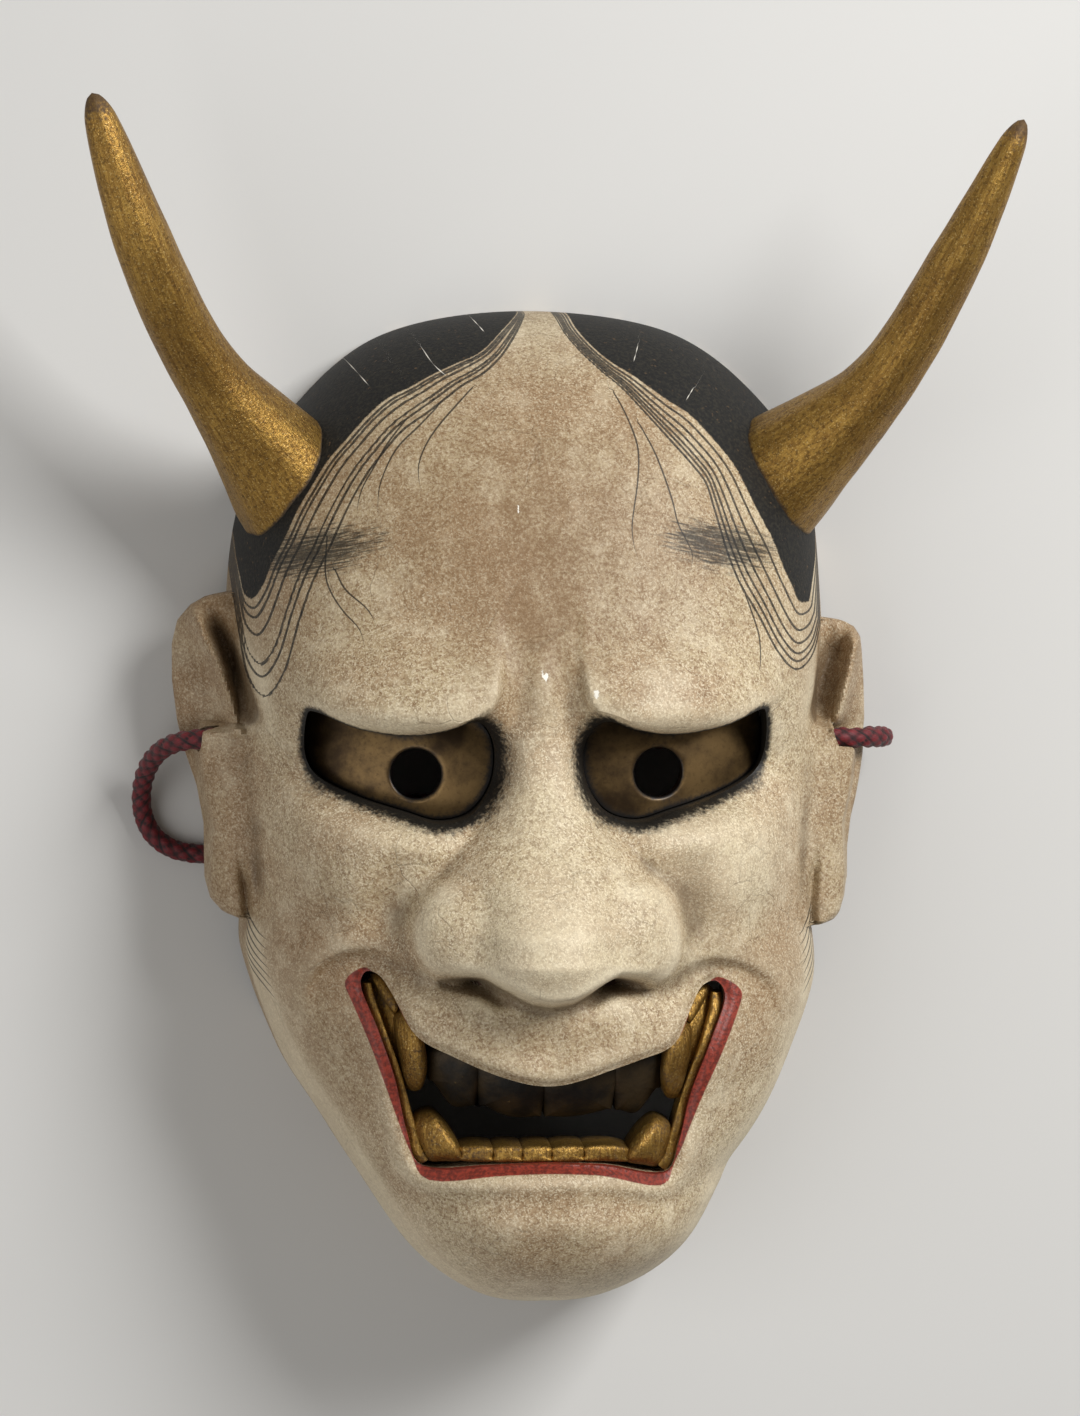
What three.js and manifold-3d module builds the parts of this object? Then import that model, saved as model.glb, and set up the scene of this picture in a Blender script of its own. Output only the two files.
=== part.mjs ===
// Hannya mask of carved wood, lying on its back rim: millimetres, x to the viewer's right, y to the horns, z out of the face.
import * as THREE from 'three';
import { mergeVertices } from 'three/addons/utils/BufferGeometryUtils.js';
import Module from 'manifold-3d';

const wasm = await Module();
wasm.setup();

// Driving sizes of the carved face
const FACE_LENGTH = 214.1; // crown to chin, measured over the rim
const FACE_WIDTH = 130; // across the temples
const FACE_DEPTH = 67; // rim to the forehead's front, before brow and nose are added
const WALL = 6.5; // wood between the face and the hollow
const RIM_LIFT = 7; // how far the rim is cut back beside the ears
const MOUTH_COLLAR = 4.5; // wood left around the mouth behind the lips
const COLLAR_DEEP = 21; // how far behind the forehead's level that wood reaches
const TOUCH = 0.3; // clearance where two pieces touch

// Driving sizes of the fittings
const EYE_PLATE = 1.8; // sheet metal of an eye
const EYE_SET_BACK = 11.2; // how far an eye plate lies behind the plain dome
const PUPIL = 10.6; // hole in an eye plate
const PUPIL_SHOULDER = 0.7; // how much wider the hole in the wood behind it is, all round
const TEETH_DEEP = 18; // how far behind the forehead's level both rows of teeth reach
const HORN_BASE = 14.2; // half the breadth of a horn where it meets the head
const HORN_MIDDLE = 5.3; // half its breadth half way up
const HORN_TOP = 4.2; // half its breadth just under the tip

// Driving sizes of the cords
const CORD = 4.5; // diameter of the braided cord
const CORD_HOLE_PLAY = 0.45; // clearance round the cord in its hole
const COIL_ACROSS = 50; // diameter of a coil at the middle of its turns
const COIL_WIDE = 2; // turns side by side
const COIL_HIGH = 3; // turns on each other
const KNOT = 9.5; // diameter of the stopper knots
const KNOT_FLAT = 0.86; // their height as a share of that

// Fineness of the meshes
const GRID_X = 30;
const GRID_Y = 40;
const EAR_GRID = [5, 11];
const EYE_GRID = [7, 4];
const TEETH_GRID = [24, 8];
const CORD_SIDES = 8;

// The carving is laid out at a nominal size and stretched to the face's own
const NOMINAL = { width: 130, length: 214.1, depth: 67 };
const STRETCH = new THREE.Vector3(
  FACE_WIDTH / NOMINAL.width, FACE_LENGTH / NOMINAL.length, FACE_DEPTH / NOMINAL.depth);
const CENTRE = new THREE.Vector2(0, -6);

// Half outlines at the nominal size, from the crown down
const HEAD_HALF = [[0, 96.6], [30.4, 91.5], [50, 75.5], [61.5, 56], [65, 25], [63, -15], [60.5, -42],
  [53, -64], [39.5, -87], [28, -105.5], [14, -115.5], [0, -117.5]];
const EYE_OUTLINE = [[10.4, 8.5], [9.2, 3.5], [10.3, -3], [14.5, -8.6], [21, -10.4], [28, -8.6], [38, -5.5],
  [46, -1.5], [48.8, 3.5], [48.6, 11.5], [46.5, 12.8], [38, 9.6], [28, 8.2], [20, 9.4], [14, 11.4]];
const PUPIL_CENTRE = [25.6, -0.6];
const MOUTH_HALF = [[0, -64.5], [9.2, -62.7], [19.4, -58.6], [27.2, -54.4], [31.6, -46.2], [34, -42.6],
  [36.8, -42], [37.8, -45.5], [35, -53.5], [31.4, -64.4], [28.8, -75.2], [25.4, -82.4], [12, -81.6], [0, -81]];

// Small maths

const clamp = (value, low = 0, high = 1) => Math.min(high, Math.max(low, value));
const ease = (t) => clamp(t) ** 2 * (3 - 2 * clamp(t));
const mix = (a, b, t) => a + (b - a) * t;

/** Value at x on straight lines between the points (xs, ys). */
function steps(x, xs, ys) {
  if (x <= xs[0]) return ys[0];
  for (let i = 1; i < xs.length; i += 1) {
    if (x <= xs[i]) return mix(ys[i - 1], ys[i], (x - xs[i - 1]) / (xs[i] - xs[i - 1]));
  }
  return ys[ys.length - 1];
}

/** Values spread evenly over a share from 0 to 1. */
const spread = (share, values) => steps(share, values.map((_, i) => i / (values.length - 1)), values);

/** Larger of two heights, blended over k. */
function blendMax(a, b, k) {
  const h = clamp(0.5 + (0.5 * (a - b)) / k);
  return b + (a - b) * h + k * h * (1 - h);
}

/** A half outline with its mirror image added, as a closed loop. */
const mirrored = (half) => half.concat(half.slice(1, -1).reverse().map(([x, y]) => [-x, y]));

/** Points on a smooth curve through the given ones. */
function curve(points, closed, perSpan) {
  const spans = closed ? points.length : points.length - 1;
  const path = new THREE.CatmullRomCurve3(points.map(([x, y, z = 0]) => new THREE.Vector3(x, y, z)), closed,
    'catmullrom', 0.5);
  const count = spans * perSpan;
  const out = [];
  for (let i = 0; i < (closed ? count : count + 1); i += 1) out.push(path.getPoint(i / count));
  return out;
}

/** Distance from (x, y) to a line, with the share along it and the side it lies on. */
function nearest(x, y, line, closed = false) {
  const ends = closed ? line.concat([line[0]]) : line;
  let run = 0;
  const best = { distance: Infinity, at: 0, side: 1 };
  for (let i = 1; i < ends.length; i += 1) {
    const [p, q] = [ends[i - 1], ends[i]];
    const [dx, dy] = [q.x - p.x, q.y - p.y];
    const length = Math.hypot(dx, dy) || 1e-9;
    const t = clamp(((x - p.x) * dx + (y - p.y) * dy) / length ** 2);
    const [ex, ey] = [x - p.x - t * dx, y - p.y - t * dy];
    const distance = Math.hypot(ex, ey);
    if (distance < best.distance) {
      best.distance = distance;
      best.at = run + t * length;
      best.side = Math.sign(dx * ey - dy * ex);
    }
    run += length;
  }
  best.share = best.at / run;
  return best;
}

/** Whether (x, y) lies inside a closed line. */
function inside(x, y, line) {
  let odd = false;
  line.forEach((p, i) => {
    const q = line[(i + 1) % line.length];
    if ((p.y > y) !== (q.y > y) && x < ((q.x - p.x) * (y - p.y)) / (q.y - p.y) + p.x) odd = !odd;
  });
  return odd;
}

/** A rounded swelling of height 1 at (cx, cy), turned by degrees. */
function mound(x, y, cx, cy, rx, ry, turn = 0, power = 1) {
  const [c, s] = [Math.cos((turn * Math.PI) / 180), Math.sin((turn * Math.PI) / 180)];
  const u = ((x - cx) * c + (y - cy) * s) / rx;
  const v = (-(x - cx) * s + (y - cy) * c) / ry;
  return Math.exp(-((u * u + v * v) ** power));
}

/** A ridge or groove along a line, with heights spread along it. */
function stroke(x, y, line, width, heights) {
  const near = nearest(x, y, line);
  return spread(near.share, heights) * Math.exp(-((near.distance / width) ** 2));
}

/** A ridge that is soft on its left and falls fast on its right. */
function edge(x, y, line, soft, sharp, heights) {
  const near = nearest(x, y, line);
  const width = near.side > 0 ? soft : sharp;
  return spread(near.share, heights) * Math.exp(-((near.distance / width) ** 2));
}

/** The front of an ellipsoid, falling away outside it. */
function lump(x, y, cx, cy, cz, rx, ry, rz) {
  const q = ((x - cx) / rx) ** 2 + ((y - cy) / ry) ** 2;
  return q < 1 ? cz + rz * Math.sqrt(1 - q) : cz - 30 * (Math.sqrt(q) - 1);
}

// The head's dome

const HEAD = curve(mirrored(HEAD_HALF), true, 24);
const HEAD_POLAR = HEAD
  .map((p) => [Math.atan2(p.y - CENTRE.y, p.x - CENTRE.x), Math.hypot(p.x - CENTRE.x, p.y - CENTRE.y)])
  .sort((a, b) => a[0] - b[0]);
const HEAD_TURN = [[HEAD_POLAR[HEAD_POLAR.length - 1][0] - 2 * Math.PI, HEAD_POLAR[HEAD_POLAR.length - 1][1]],
  ...HEAD_POLAR, [HEAD_POLAR[0][0] + 2 * Math.PI, HEAD_POLAR[0][1]]];
const [HEAD_ANGLES, HEAD_RADII] = [HEAD_TURN.map((p) => p[0]), HEAD_TURN.map((p) => p[1])];

/** Distance from the centre to the head's outline at an angle. */
const headRadius = (angle) => steps(angle, HEAD_ANGLES, HEAD_RADII);

/** Height share of the dome at a share of the way out, squarer towards the jaw. */
function dome(share, y) {
  const n = 2.35 + 1.5 * ease((-y - 20) / 70);
  return (1 - clamp(share) ** n) ** (1 / n);
}

/** Dome height share at a nominal place in the front view. */
function domeAt(x, y) {
  const [dx, dy] = [x - CENTRE.x, y - CENTRE.y];
  return dome(Math.hypot(dx, dy) / headRadius(Math.atan2(dy, dx)), y);
}

// The carving, at the nominal size

const BROW_EDGE = curve([[8.6, 27], [10.2, 16], [14.5, 12.2], [21, 9.9], [29, 8.8], [40, 10.6], [48, 14.2], [54, 17]], false, 6);
const FOLD_RIDGE = curve([[27, -39.5], [32, -37], [38, -36.6], [44, -39], [47.8, -45], [48.5, -53]], false, 6);
const FOLD_GROOVE = curve([[29, -41], [36, -39], [42, -40], [46, -45], [46.5, -52]], false, 6);
const WING_CREASE = curve([[12.5, -22], [15, -29], [14, -37], [11, -43]], false, 6);
const NOSTRIL = curve([[9.5, -46.6], [14, -43.6], [20.5, -42.8]], false, 6);
const CHIN_CLEFT = curve([[0, -100], [0.5, -116]], false, 6);
const MOUTH = curve(mirrored(MOUTH_HALF), true, 4);

/** Masses of the face that are also hollowed from behind. */
function masses(x, y) {
  const m = Math.abs(x);
  return 2 * mound(x, y, 0, 60, 40, 34)
    + 6 * mound(m, y, 28, 17, 25, 10, 0, 1.3)
    - 7.5 * mound(m, y, 28, 0, 24, 9.5, 0, 1.8)
    + 6 * mound(m, y, 40, -20, 17, 12, 12, 1.3)
    + 9 * mound(x, y, 0, -55, 36, 15, 0, 2)
    + 4 * mound(x, y, 0, -78, 33, 14, 0, 1.6)
    + 11 * mound(x, y, 0, -99, 27, 14, 0, 1.7);
}

/** The nose's height, blended over z: a bridge that broadens into tip and wings. */
function nose(x, y, z) {
  const m = Math.abs(x - 1);
  const down = -y;
  const crest = steps(down, [-26, -16, -6, 4, 14, 24, 32, 38, 48], [60, 65.5, 68.5, 71.5, 77, 85, 90.5, 91.5, 86]);
  const width = steps(down, [-26, -8, 2, 10, 17, 23, 30, 48], [5, 8, 10, 14, 19.5, 25, 27.5, 26]);
  const t = clamp(m / width);
  const bridge = (1 - t ** 2.2) ** 0.9;
  const broad = 0.5 * (1 - t ** 5) + 0.5 * Math.exp(-((m / 14.5) ** 2.4));
  const foot = z - 1.5;
  const full = foot + Math.max(crest - foot, 0) * mix(bridge, broad, ease((down - 12) / 14));
  const under = steps(m, [0, 4, 9, 14, 20, 25, 28], [-48.6, -48, -45.6, -43.2, -42.6, -40.5, -36]);
  const cut = ease((y - under + 1) / 5) * (1 - ease((y - 18) / 10));
  const bridged = blendMax(z, mix(foot, full, cut), 2.5);
  const winged = blendMax(bridged, lump(m, y, 19.3, -34, 68.5, 8.6, 9.5, 12.5), 4);
  return winged - stroke(m, y, WING_CREASE, 2.6, [0, 1.2, 1.6, 0.8]);
}

/** Crisper cuts: brow edge, frown, pouches, folds, lips, nostrils and chin. */
function cuts(x, y) {
  const m = Math.abs(x);
  const toMouth = nearest(x, y, MOUTH, true).distance * (inside(x, y, MOUTH) ? -1 : 1);
  return edge(m, y, BROW_EDGE, 7, 1.6, [0.6, 2.6, 3.8, 4.2, 4.2, 3.4, 2.2, 0.2])
    + 1.6 * mound(x, y, 0, 17, 2.6, 9)
    - 1.6 * mound(m, y, 5.4, 15, 2.2, 7, 12)
    - 4 * mound(m, y, 12, 4, 4.5, 8)
    + 2 * mound(m, y, 27, -14, 13, 4.5, 10, 1.2)
    - 1.6 * mound(x, y, 0, -90, 20, 3.5)
    - 0.9 * stroke(x, y, CHIN_CLEFT, 1.6, [0, 1.4])
    - 3.6 * mound(m, y, 32.5, -27, 4.6, 9.5, 14)
    + edge(m, y, FOLD_RIDGE, 5.5, 1.6, [0.6, 2, 2.4, 2.2, 1.4, 0.2])
    - stroke(m, y, FOLD_GROOVE, 2.2, [0.6, 1.8, 1.8, 1.4, 0.2])
    - 1.2 * mound(x, y, 0, -55, 3.4, 7)
    + 1.5 * Math.exp(-(((toMouth - 3.4) / 2.2) ** 2)) * ease((-y - 50) / 20)
    - stroke(m, y, NOSTRIL, 2.2, [1, 4.5, 1.5]);
}

/** The rim's height at a nominal y: cut back beside the ears, so that a cord passes under it. */
const rimHeight = (y) => RIM_LIFT * ease((46 - y) / 24) * ease((y + 62) / 24);

/** Share of the carving that applies at a dome height share. */
const faceShare = (h) => ease((h - 0.25) / 0.5);

/** Height of the carved face at a nominal place and a dome height share. */
function faceHeight(x, y, h) {
  const plain = NOMINAL.depth * h;
  const carved = nose(x, y, plain + masses(x, y)) + cuts(x, y);
  return STRETCH.z * mix(plain, carved, faceShare(h)) + rimHeight(y) * (1 - h);
}

/** Height of the hollow behind the face, which follows its masses, deeper behind the eyes and into the nose. */
function hollowHeight(x, y, h) {
  const m = Math.abs(x);
  const follow = 0.85 * masses(x, y) - 9 * mound(m, y, 25, 2, 29, 17, 0, 2.2) + 9 * mound(x, y, 1, -33, 15, 13, 0, 1.3);
  return (FACE_DEPTH - WALL) * h + STRETCH.z * follow * faceShare(h) + rimHeight(y) * (1 - h);
}

// Solids

/** A manifold from a three.js geometry. */
function solid(geometry) {
  const bare = new THREE.BufferGeometry().setAttribute('position', geometry.getAttribute('position'));
  if (geometry.index) bare.setIndex(geometry.index);
  const merged = mergeVertices(bare, 1e-5);
  return new wasm.Manifold(new wasm.Mesh({
    numProp: 3,
    vertProperties: new Float32Array(merged.getAttribute('position').array),
    triVerts: new Uint32Array(merged.index.array),
  }));
}

/** A three.js geometry from a manifold. */
function geometryOf(manifold) {
  const mesh = manifold.getMesh();
  const geometry = new THREE.BufferGeometry();
  geometry.setAttribute('position', new THREE.BufferAttribute(new Float32Array(mesh.vertProperties), 3));
  geometry.setIndex(Array.from(mesh.triVerts));
  geometry.computeVertexNormals();
  return geometry;
}

/** A geometry from points and triangles. */
function meshOf(points, triangles) {
  const geometry = new THREE.BufferGeometry();
  geometry.setAttribute('position', new THREE.Float32BufferAttribute(points.flat(), 3));
  geometry.setIndex(triangles.flat());
  return geometry;
}

/** Two triangles of a grid cell. */
const cell = (a, b, c, d) => [[a, b, c], [a, c, d]];

/** Indices round the border of a grid of points, counter-clockwise. */
function border(rows, columns) {
  const at = (r, c) => r * columns + c;
  const loop = [];
  for (let c = 0; c < columns - 1; c += 1) loop.push(at(0, c));
  for (let r = 0; r < rows - 1; r += 1) loop.push(at(r, columns - 1));
  for (let c = columns - 1; c > 0; c -= 1) loop.push(at(rows - 1, c));
  for (let r = rows - 1; r > 0; r -= 1) loop.push(at(r, 0));
  return loop;
}

/** Triangles of one sheet's cells, facing up or down. */
function sheetCells(rows, columns, first, up) {
  const triangles = [];
  for (let r = 0; r < rows - 1; r += 1) {
    for (let c = 0; c < columns - 1; c += 1) {
      const a = first + r * columns + c;
      const corners = [a, a + 1, a + columns + 1, a + columns];
      triangles.push(...cell(...(up ? corners : corners.reverse())));
    }
  }
  return triangles;
}

/** Closed shell between a fine outer sheet and an inner one of half as many cells, joined along their borders. */
function shellBetween(outer, inner) {
  const counts = [outer, inner].map((sheet) => [sheet.length, sheet[0].length]);
  const under = outer.flat().length;
  const triangles = sheetCells(...counts[0], 0, true).concat(sheetCells(...counts[1], under, false));
  const fine = border(...counts[0]);
  const coarse = border(...counts[1]).map((i) => i + under);
  coarse.forEach((b, i) => {
    const [a0, a1, a2] = [0, 1, 2].map((k) => fine[(2 * i + k) % fine.length]);
    const next = coarse[(i + 1) % coarse.length];
    triangles.push([a0, b, a1], [a1, b, next], [a1, next, a2]);
  });
  return meshOf(outer.flat().concat(inner.flat()), triangles);
}

/** Closed solid between two sheets of points, given as rows with counter-clockwise cells seen from the first sheet. */
function between(top, bottom) {
  const [rows, columns] = [top.length, top[0].length];
  const points = top.flat().concat(bottom.flat());
  const under = rows * columns;
  const triangles = sheetCells(rows, columns, 0, true).concat(sheetCells(rows, columns, under, false));
  const loop = border(rows, columns);
  loop.forEach((a, i) => {
    const b = loop[(i + 1) % loop.length];
    triangles.push(...cell(a, a + under, b + under, b));
  });
  return meshOf(points, triangles);
}

/** Even steps from -1 to 1 drawn together around a focus. */
function focused(count, focus, pull) {
  const warp = (t) => t - (pull / Math.PI) * Math.sin(Math.PI * (t - focus));
  const [low, high] = [warp(-1), warp(1)];
  return Array.from({ length: count + 1 }, (_, i) => -1 + (2 * (warp(-1 + (2 * i) / count) - low)) / (high - low));
}

/** A sheet over the head's outline, drawn in by inset, with height(x, y, dome share) at nominal places. */
function headSheet(columns, rows, inset, height) {
  return focused(rows, -0.16, 0.6).map((b) => focused(columns, 0, 0.4).map((a) => {
    const [u, v] = [a * Math.sqrt(1 - b ** 2 / 2), b * Math.sqrt(1 - a ** 2 / 2)];
    const angle = Math.atan2(v, u);
    const share = Math.sin((Math.PI / 2) * Math.min(1, Math.hypot(u, v)));
    const reach = headRadius(angle);
    const out = new THREE.Vector2(reach * Math.cos(angle) * STRETCH.x, reach * Math.sin(angle) * STRETCH.y);
    const drawn = out.multiplyScalar((share * (out.length() - inset)) / out.length());
    const [x, y] = [drawn.x + CENTRE.x * STRETCH.x, drawn.y + CENTRE.y * STRETCH.y];
    const [nx, ny] = [x / STRETCH.x, y / STRETCH.y];
    return [x, y, height(nx, ny, dome(share, ny), share)];
  }));
}

/** The same sheet laid flat at one height. */
const flattened = (sheet, z) => sheet.map((row) => row.map(([x, y]) => [x, y, z]));

/** Closed solid over a rectangle, between two height functions of real x and y. */
function slab([x0, x1, y0, y1], [columns, rows], top, bottom) {
  const sheet = (height) => Array.from({ length: rows + 1 }, (_, r) => Array.from({ length: columns + 1 }, (__, c) => {
    const [x, y] = [mix(x0, x1, c / columns), mix(y0, y1, r / rows)];
    return [x, y, height(x, y)];
  }));
  return between(sheet(top), sheet(bottom));
}

/** A nominal outline at its real size, moved outward by grow. */
function outline(points, closedPer, grow = 0) {
  const line = curve(points.map(([x, y]) => [x * STRETCH.x, y * STRETCH.y]), true, closedPer);
  const turning = THREE.ShapeUtils.area(line) > 0 ? 1 : -1;
  return line.map((p, i) => {
    const before = line[(i + line.length - 1) % line.length];
    const after = line[(i + 1) % line.length];
    const along = new THREE.Vector2(after.x - before.x, after.y - before.y).normalize();
    return new THREE.Vector2(p.x + turning * grow * along.y, p.y - turning * grow * along.x);
  });
}

/** An outline carried straight from one height to another. */
function prism(line, low, high, holes = []) {
  const shape = new THREE.Shape(line);
  holes.forEach((hole) => shape.holes.push(hole));
  return new THREE.ExtrudeGeometry(shape, { depth: high - low, bevelEnabled: false, curveSegments: 8 })
    .translate(0, 0, low);
}

/** A round hole or bar along z. */
function roundBar([x, y], diameter, low, high, sides = 14) {
  return new THREE.CylinderGeometry(diameter / 2, diameter / 2, high - low, sides)
    .rotateX(Math.PI / 2).translate(x, y, (low + high) / 2);
}

/** A tube of changing radius through points, closed at both ends. */
function tube(points, radiusAt, sides) {
  const path = new THREE.CatmullRomCurve3(points, false, 'centripetal');
  const count = points.length - 1;
  const frames = path.computeFrenetFrames(count, false);
  const rings = points.map((_, i) => {
    const centre = path.getPoint(i / count);
    return Array.from({ length: sides }, (__, s) => {
      const angle = (2 * Math.PI * s) / sides;
      const radius = radiusAt(i / count, angle);
      return centre.clone().addScaledVector(frames.normals[i], radius * Math.cos(angle))
        .addScaledVector(frames.binormals[i], radius * Math.sin(angle)).toArray();
    });
  });
  const vertices = rings.flat().concat([path.getPoint(0).toArray(), path.getPoint(1).toArray()]);
  const triangles = [];
  const ends = [sides * points.length, sides * points.length + 1];
  for (let s = 0; s < sides; s += 1) {
    const next = (s + 1) % sides;
    for (let r = 0; r < points.length - 1; r += 1) {
      triangles.push(...cell(r * sides + s, r * sides + next, (r + 1) * sides + next, (r + 1) * sides + s));
    }
    triangles.push([ends[0], next, s], [ends[1], count * sides + s, count * sides + next]);
  }
  return meshOf(vertices, triangles);
}

const SIDES = { left: -1, right: 1 };

// Cords: each leaves its hole, passes over the ear's back plate and goes under the rim to its coil

const CORD_Z = 25.2;
const FLOOR = CORD / 2;
const ROUTES = {
  right: [[53, 4.6, 24.4], [57, 4.6, 24.9], [62, 4.6, CORD_Z], [67, 4.6, CORD_Z], [71, 4.4, 24.3], [75, 4.2, 21.6],
    [77.8, 4, 17.6], [78.7, 3.8, 13.4], [77.6, 3.6, 9], [74.6, 3.3, 5], [70.4, 3, 2.8], [65, 2.8, FLOOR],
    [58, 2.7, FLOOR], [50, 2.7, FLOOR], [42, 2.7, FLOOR], [34, 2.7, FLOOR], [25, 2.7, FLOOR]],
  left: [[-53, 5.2, 24.4], [-57, 5.2, 24.9], [-62, 5.2, CORD_Z], [-67, 5.1, CORD_Z], [-71.2, 4.8, 24.2],
    [-75.2, 4, 21.4], [-78.6, 2.2, 17.2], [-81, -0.6, 12.6], [-82.6, -4.4, 8.2], [-83.3, -8.8, 4.8],
    [-82.9, -13.4, 2.8], [-80.8, -17.8, FLOOR], [-76.8, -20.8, FLOOR], [-71.6, -22, FLOOR], [-65, -22, FLOOR],
    [-57, -20, FLOOR], [-49, -17, FLOOR], [-41, -14, FLOOR], [-33.5, -11.4, FLOOR]],
};
const COILS = { right: [8, 30], left: [-10, -39] };
const COIL_EDGE = COIL_ACROSS / 2 + (COIL_WIDE * CORD) / 2;
const END_KNOTS = {
  right: [COILS.right[0], COILS.right[1] + COIL_EDGE + KNOT / 2 + TOUCH],
  left: [COILS.left[0], COILS.left[1] - COIL_EDGE - KNOT / 2 - TOUCH],
};

/** Points of a cord's route as vectors. */
const route = (side) => ROUTES[side].map(([x, y, z]) => new THREE.Vector3(x, y, z));

/** The hole and the notch that a cord runs through, along the first stretch of its route. */
function cordHole(side) {
  const inner = route(side).slice(0, 7);
  inner[0].x -= SIDES[side] * 6;
  return solid(tube(inner, () => (CORD / 2 + CORD_HOLE_PLAY) / Math.cos(Math.PI / CORD_SIDES), CORD_SIDES));
}

function cordTube(side) {
  return tube(route(side), () => CORD / 2, CORD_SIDES);
}

function cordCoil(side) {
  const [wide, high] = [(COIL_WIDE * CORD) / 2, COIL_HIGH * CORD];
  const middle = COIL_ACROSS / 2;
  const round = CORD / 3;
  const profile = [[-wide, round], [-wide + round, 0], [wide - round, 0], [wide, round], [wide, high - round],
    [wide - round, high], [-wide + round, high], [-wide, high - round], [-wide, round]];
  const ring = new THREE.LatheGeometry(profile.map(([r, z]) => new THREE.Vector2(middle + r, z)), 18);
  return ring.rotateX(Math.PI / 2).translate(...COILS[side], 0);
}

// The mask's shell

/** The outer edge of an ear at a height share from its foot to its top, nominal. */
const EAR = { inner: 52, foot: -34.5, top: 36.5 };

/** How far the ear stands out at y. */
const earReach = (y) => steps(y, [-34.5, -33, -28, -20, -8, 0, 5, 10, 20, 27, 31, 34.5, 36.5],
  [62, 66, 69.5, 70.6, 72, 73.4, 74.4, 75.2, 75.8, 75, 73, 69.5, 64]);

/** Front of an ear: a back plate, a ridge with a channel inside it, and the lobe in front. */
function earFront(x, y) {
  const plate = steps(x, [52, 60, 66, 76], [24, 24, 22, 16.5]) - 2.5 * mound(x, y, 70, 5, 12, 5);
  const lobeReach = steps(y, [-34.5, -30, -24, -2, 3, 5.5], [66, 69, 70, 71.3, 70.6, 64]);
  const lobe = (33 - 0.45 * Math.max(0, x - 60)) * 1 - 9 * ease((x - lobeReach + 1.2) / 2.4);
  const lobed = blendMax(plate, mix(plate, lobe, ease((6.2 - y) / 2.2)), 1);
  const ridge = 6.5 * Math.exp(-(((x - steps(y, [4, 34], [64.2, 70.5])) / 2.3) ** 2)) * ease((y - 5.5) / 3) * ease((37 - y) / 8);
  const crease = 3.5 * Math.exp(-(((x - steps(y, [-34, -16], [60.6, 62.6])) / 1.6) ** 2)) * ease((-15 - y) / 8);
  return lobed + ridge - crease;
}

/** Back of an ear, hollowed behind its edge. */
const earBack = (x, y) => steps(x, [52, 62, 76], [9, 11, 11.5]) + 0.5 * mound(x, y, 66, 0, 10, 20);

/** An ear as a closed sheet with a rounded edge. */
function ear(side) {
  const [columns, rows] = EAR_GRID;
  const sheet = (front) => Array.from({ length: rows + 1 }, (_, r) => Array.from({ length: columns + 1 }, (__, c) => {
    const y = mix(EAR.foot, EAR.top, ease(0.5 + (r / rows - 0.5) * 0.86) * 1.1 - 0.05);
    const share = Math.sin((Math.PI / 2) * (c / columns));
    const yClamped = clamp(y, EAR.foot, EAR.top);
    const x = mix(EAR.inner, earReach(yClamped), share);
    const [high, low] = [earFront(x, yClamped), earBack(x, yClamped)];
    const middle = mix(low, high, 0.55);
    const thin = Math.sqrt(Math.max(0, 1 - share ** 8)) * (1 - 0.5 * ease((yClamped - 30) / 6.5));
    const z = mix(middle, front ? high : low, Math.max(0.12, thin));
    return [SIDES[side] * x * STRETCH.x, yClamped * STRETCH.y, z * STRETCH.z];
  }));
  const [front, back] = [sheet(true), sheet(false)];
  return solid(side === 'right' ? between(front, back) : between(back, front));
}

/** Real height of the plain dome over a real place. */
const domeOver = (x, y) => FACE_DEPTH * domeAt(x / STRETCH.x, y / STRETCH.y);

/** Front of an eye plate: the dome let back, a little domed itself. */
function eyeFront(x, y) {
  const [u, v] = [(Math.abs(x) / STRETCH.x - 28) / 22, y / STRETCH.y / 12];
  return domeOver(x, y) - EYE_SET_BACK + 1.8 * clamp(1 - u * u - v * v) + 2.2 * ease((Math.abs(x) / STRETCH.x - 28) / 22);
}

/** Outline of one eye opening, drawn in by clearance. */
const eyeOutline = (side, clearance) => outline(EYE_OUTLINE.map(([x, y]) => [SIDES[side] * x, y]), 2, -clearance);

/** Real place of a pupil. */
const pupilPlace = (side) => [SIDES[side] * PUPIL_CENTRE[0] * STRETCH.x, PUPIL_CENTRE[1] * STRETCH.y];

/** The box around an eye, with room to spare. */
function eyeBox(side) {
  const [x0, x1] = [6 * STRETCH.x, 52 * STRETCH.x];
  const across = side === 'right' ? [x0, x1] : [-x1, -x0];
  return [...across, -14 * STRETCH.y, 16 * STRETCH.y];
}

/** Pocket that an eye plate sits in. */
function eyePocket(side) {
  const above = solid(slab(eyeBox(side), EYE_GRID, () => 100, (x, y) => eyeFront(x, y) - EYE_PLATE - TOUCH));
  return above.intersect(solid(prism(eyeOutline(side, 0), 20, 99)));
}

/** Height of the face without nose and fine cuts, over a real place. */
function massesOver(x, y) {
  const [nx, ny] = [x / STRETCH.x, y / STRETCH.y];
  const h = domeAt(nx, ny);
  return STRETCH.z * (NOMINAL.depth * h + masses(nx, ny) * faceShare(h));
}

/** A rectangle round the mouth, with room to spare. */
const mouthBox = (spare) => [-40 * STRETCH.x - spare, 40 * STRETCH.x + spare, -85 * STRETCH.y - spare, -40 * STRETCH.y + spare];

const outerSheet = headSheet(GRID_X, GRID_Y, 0, faceHeight);

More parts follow.
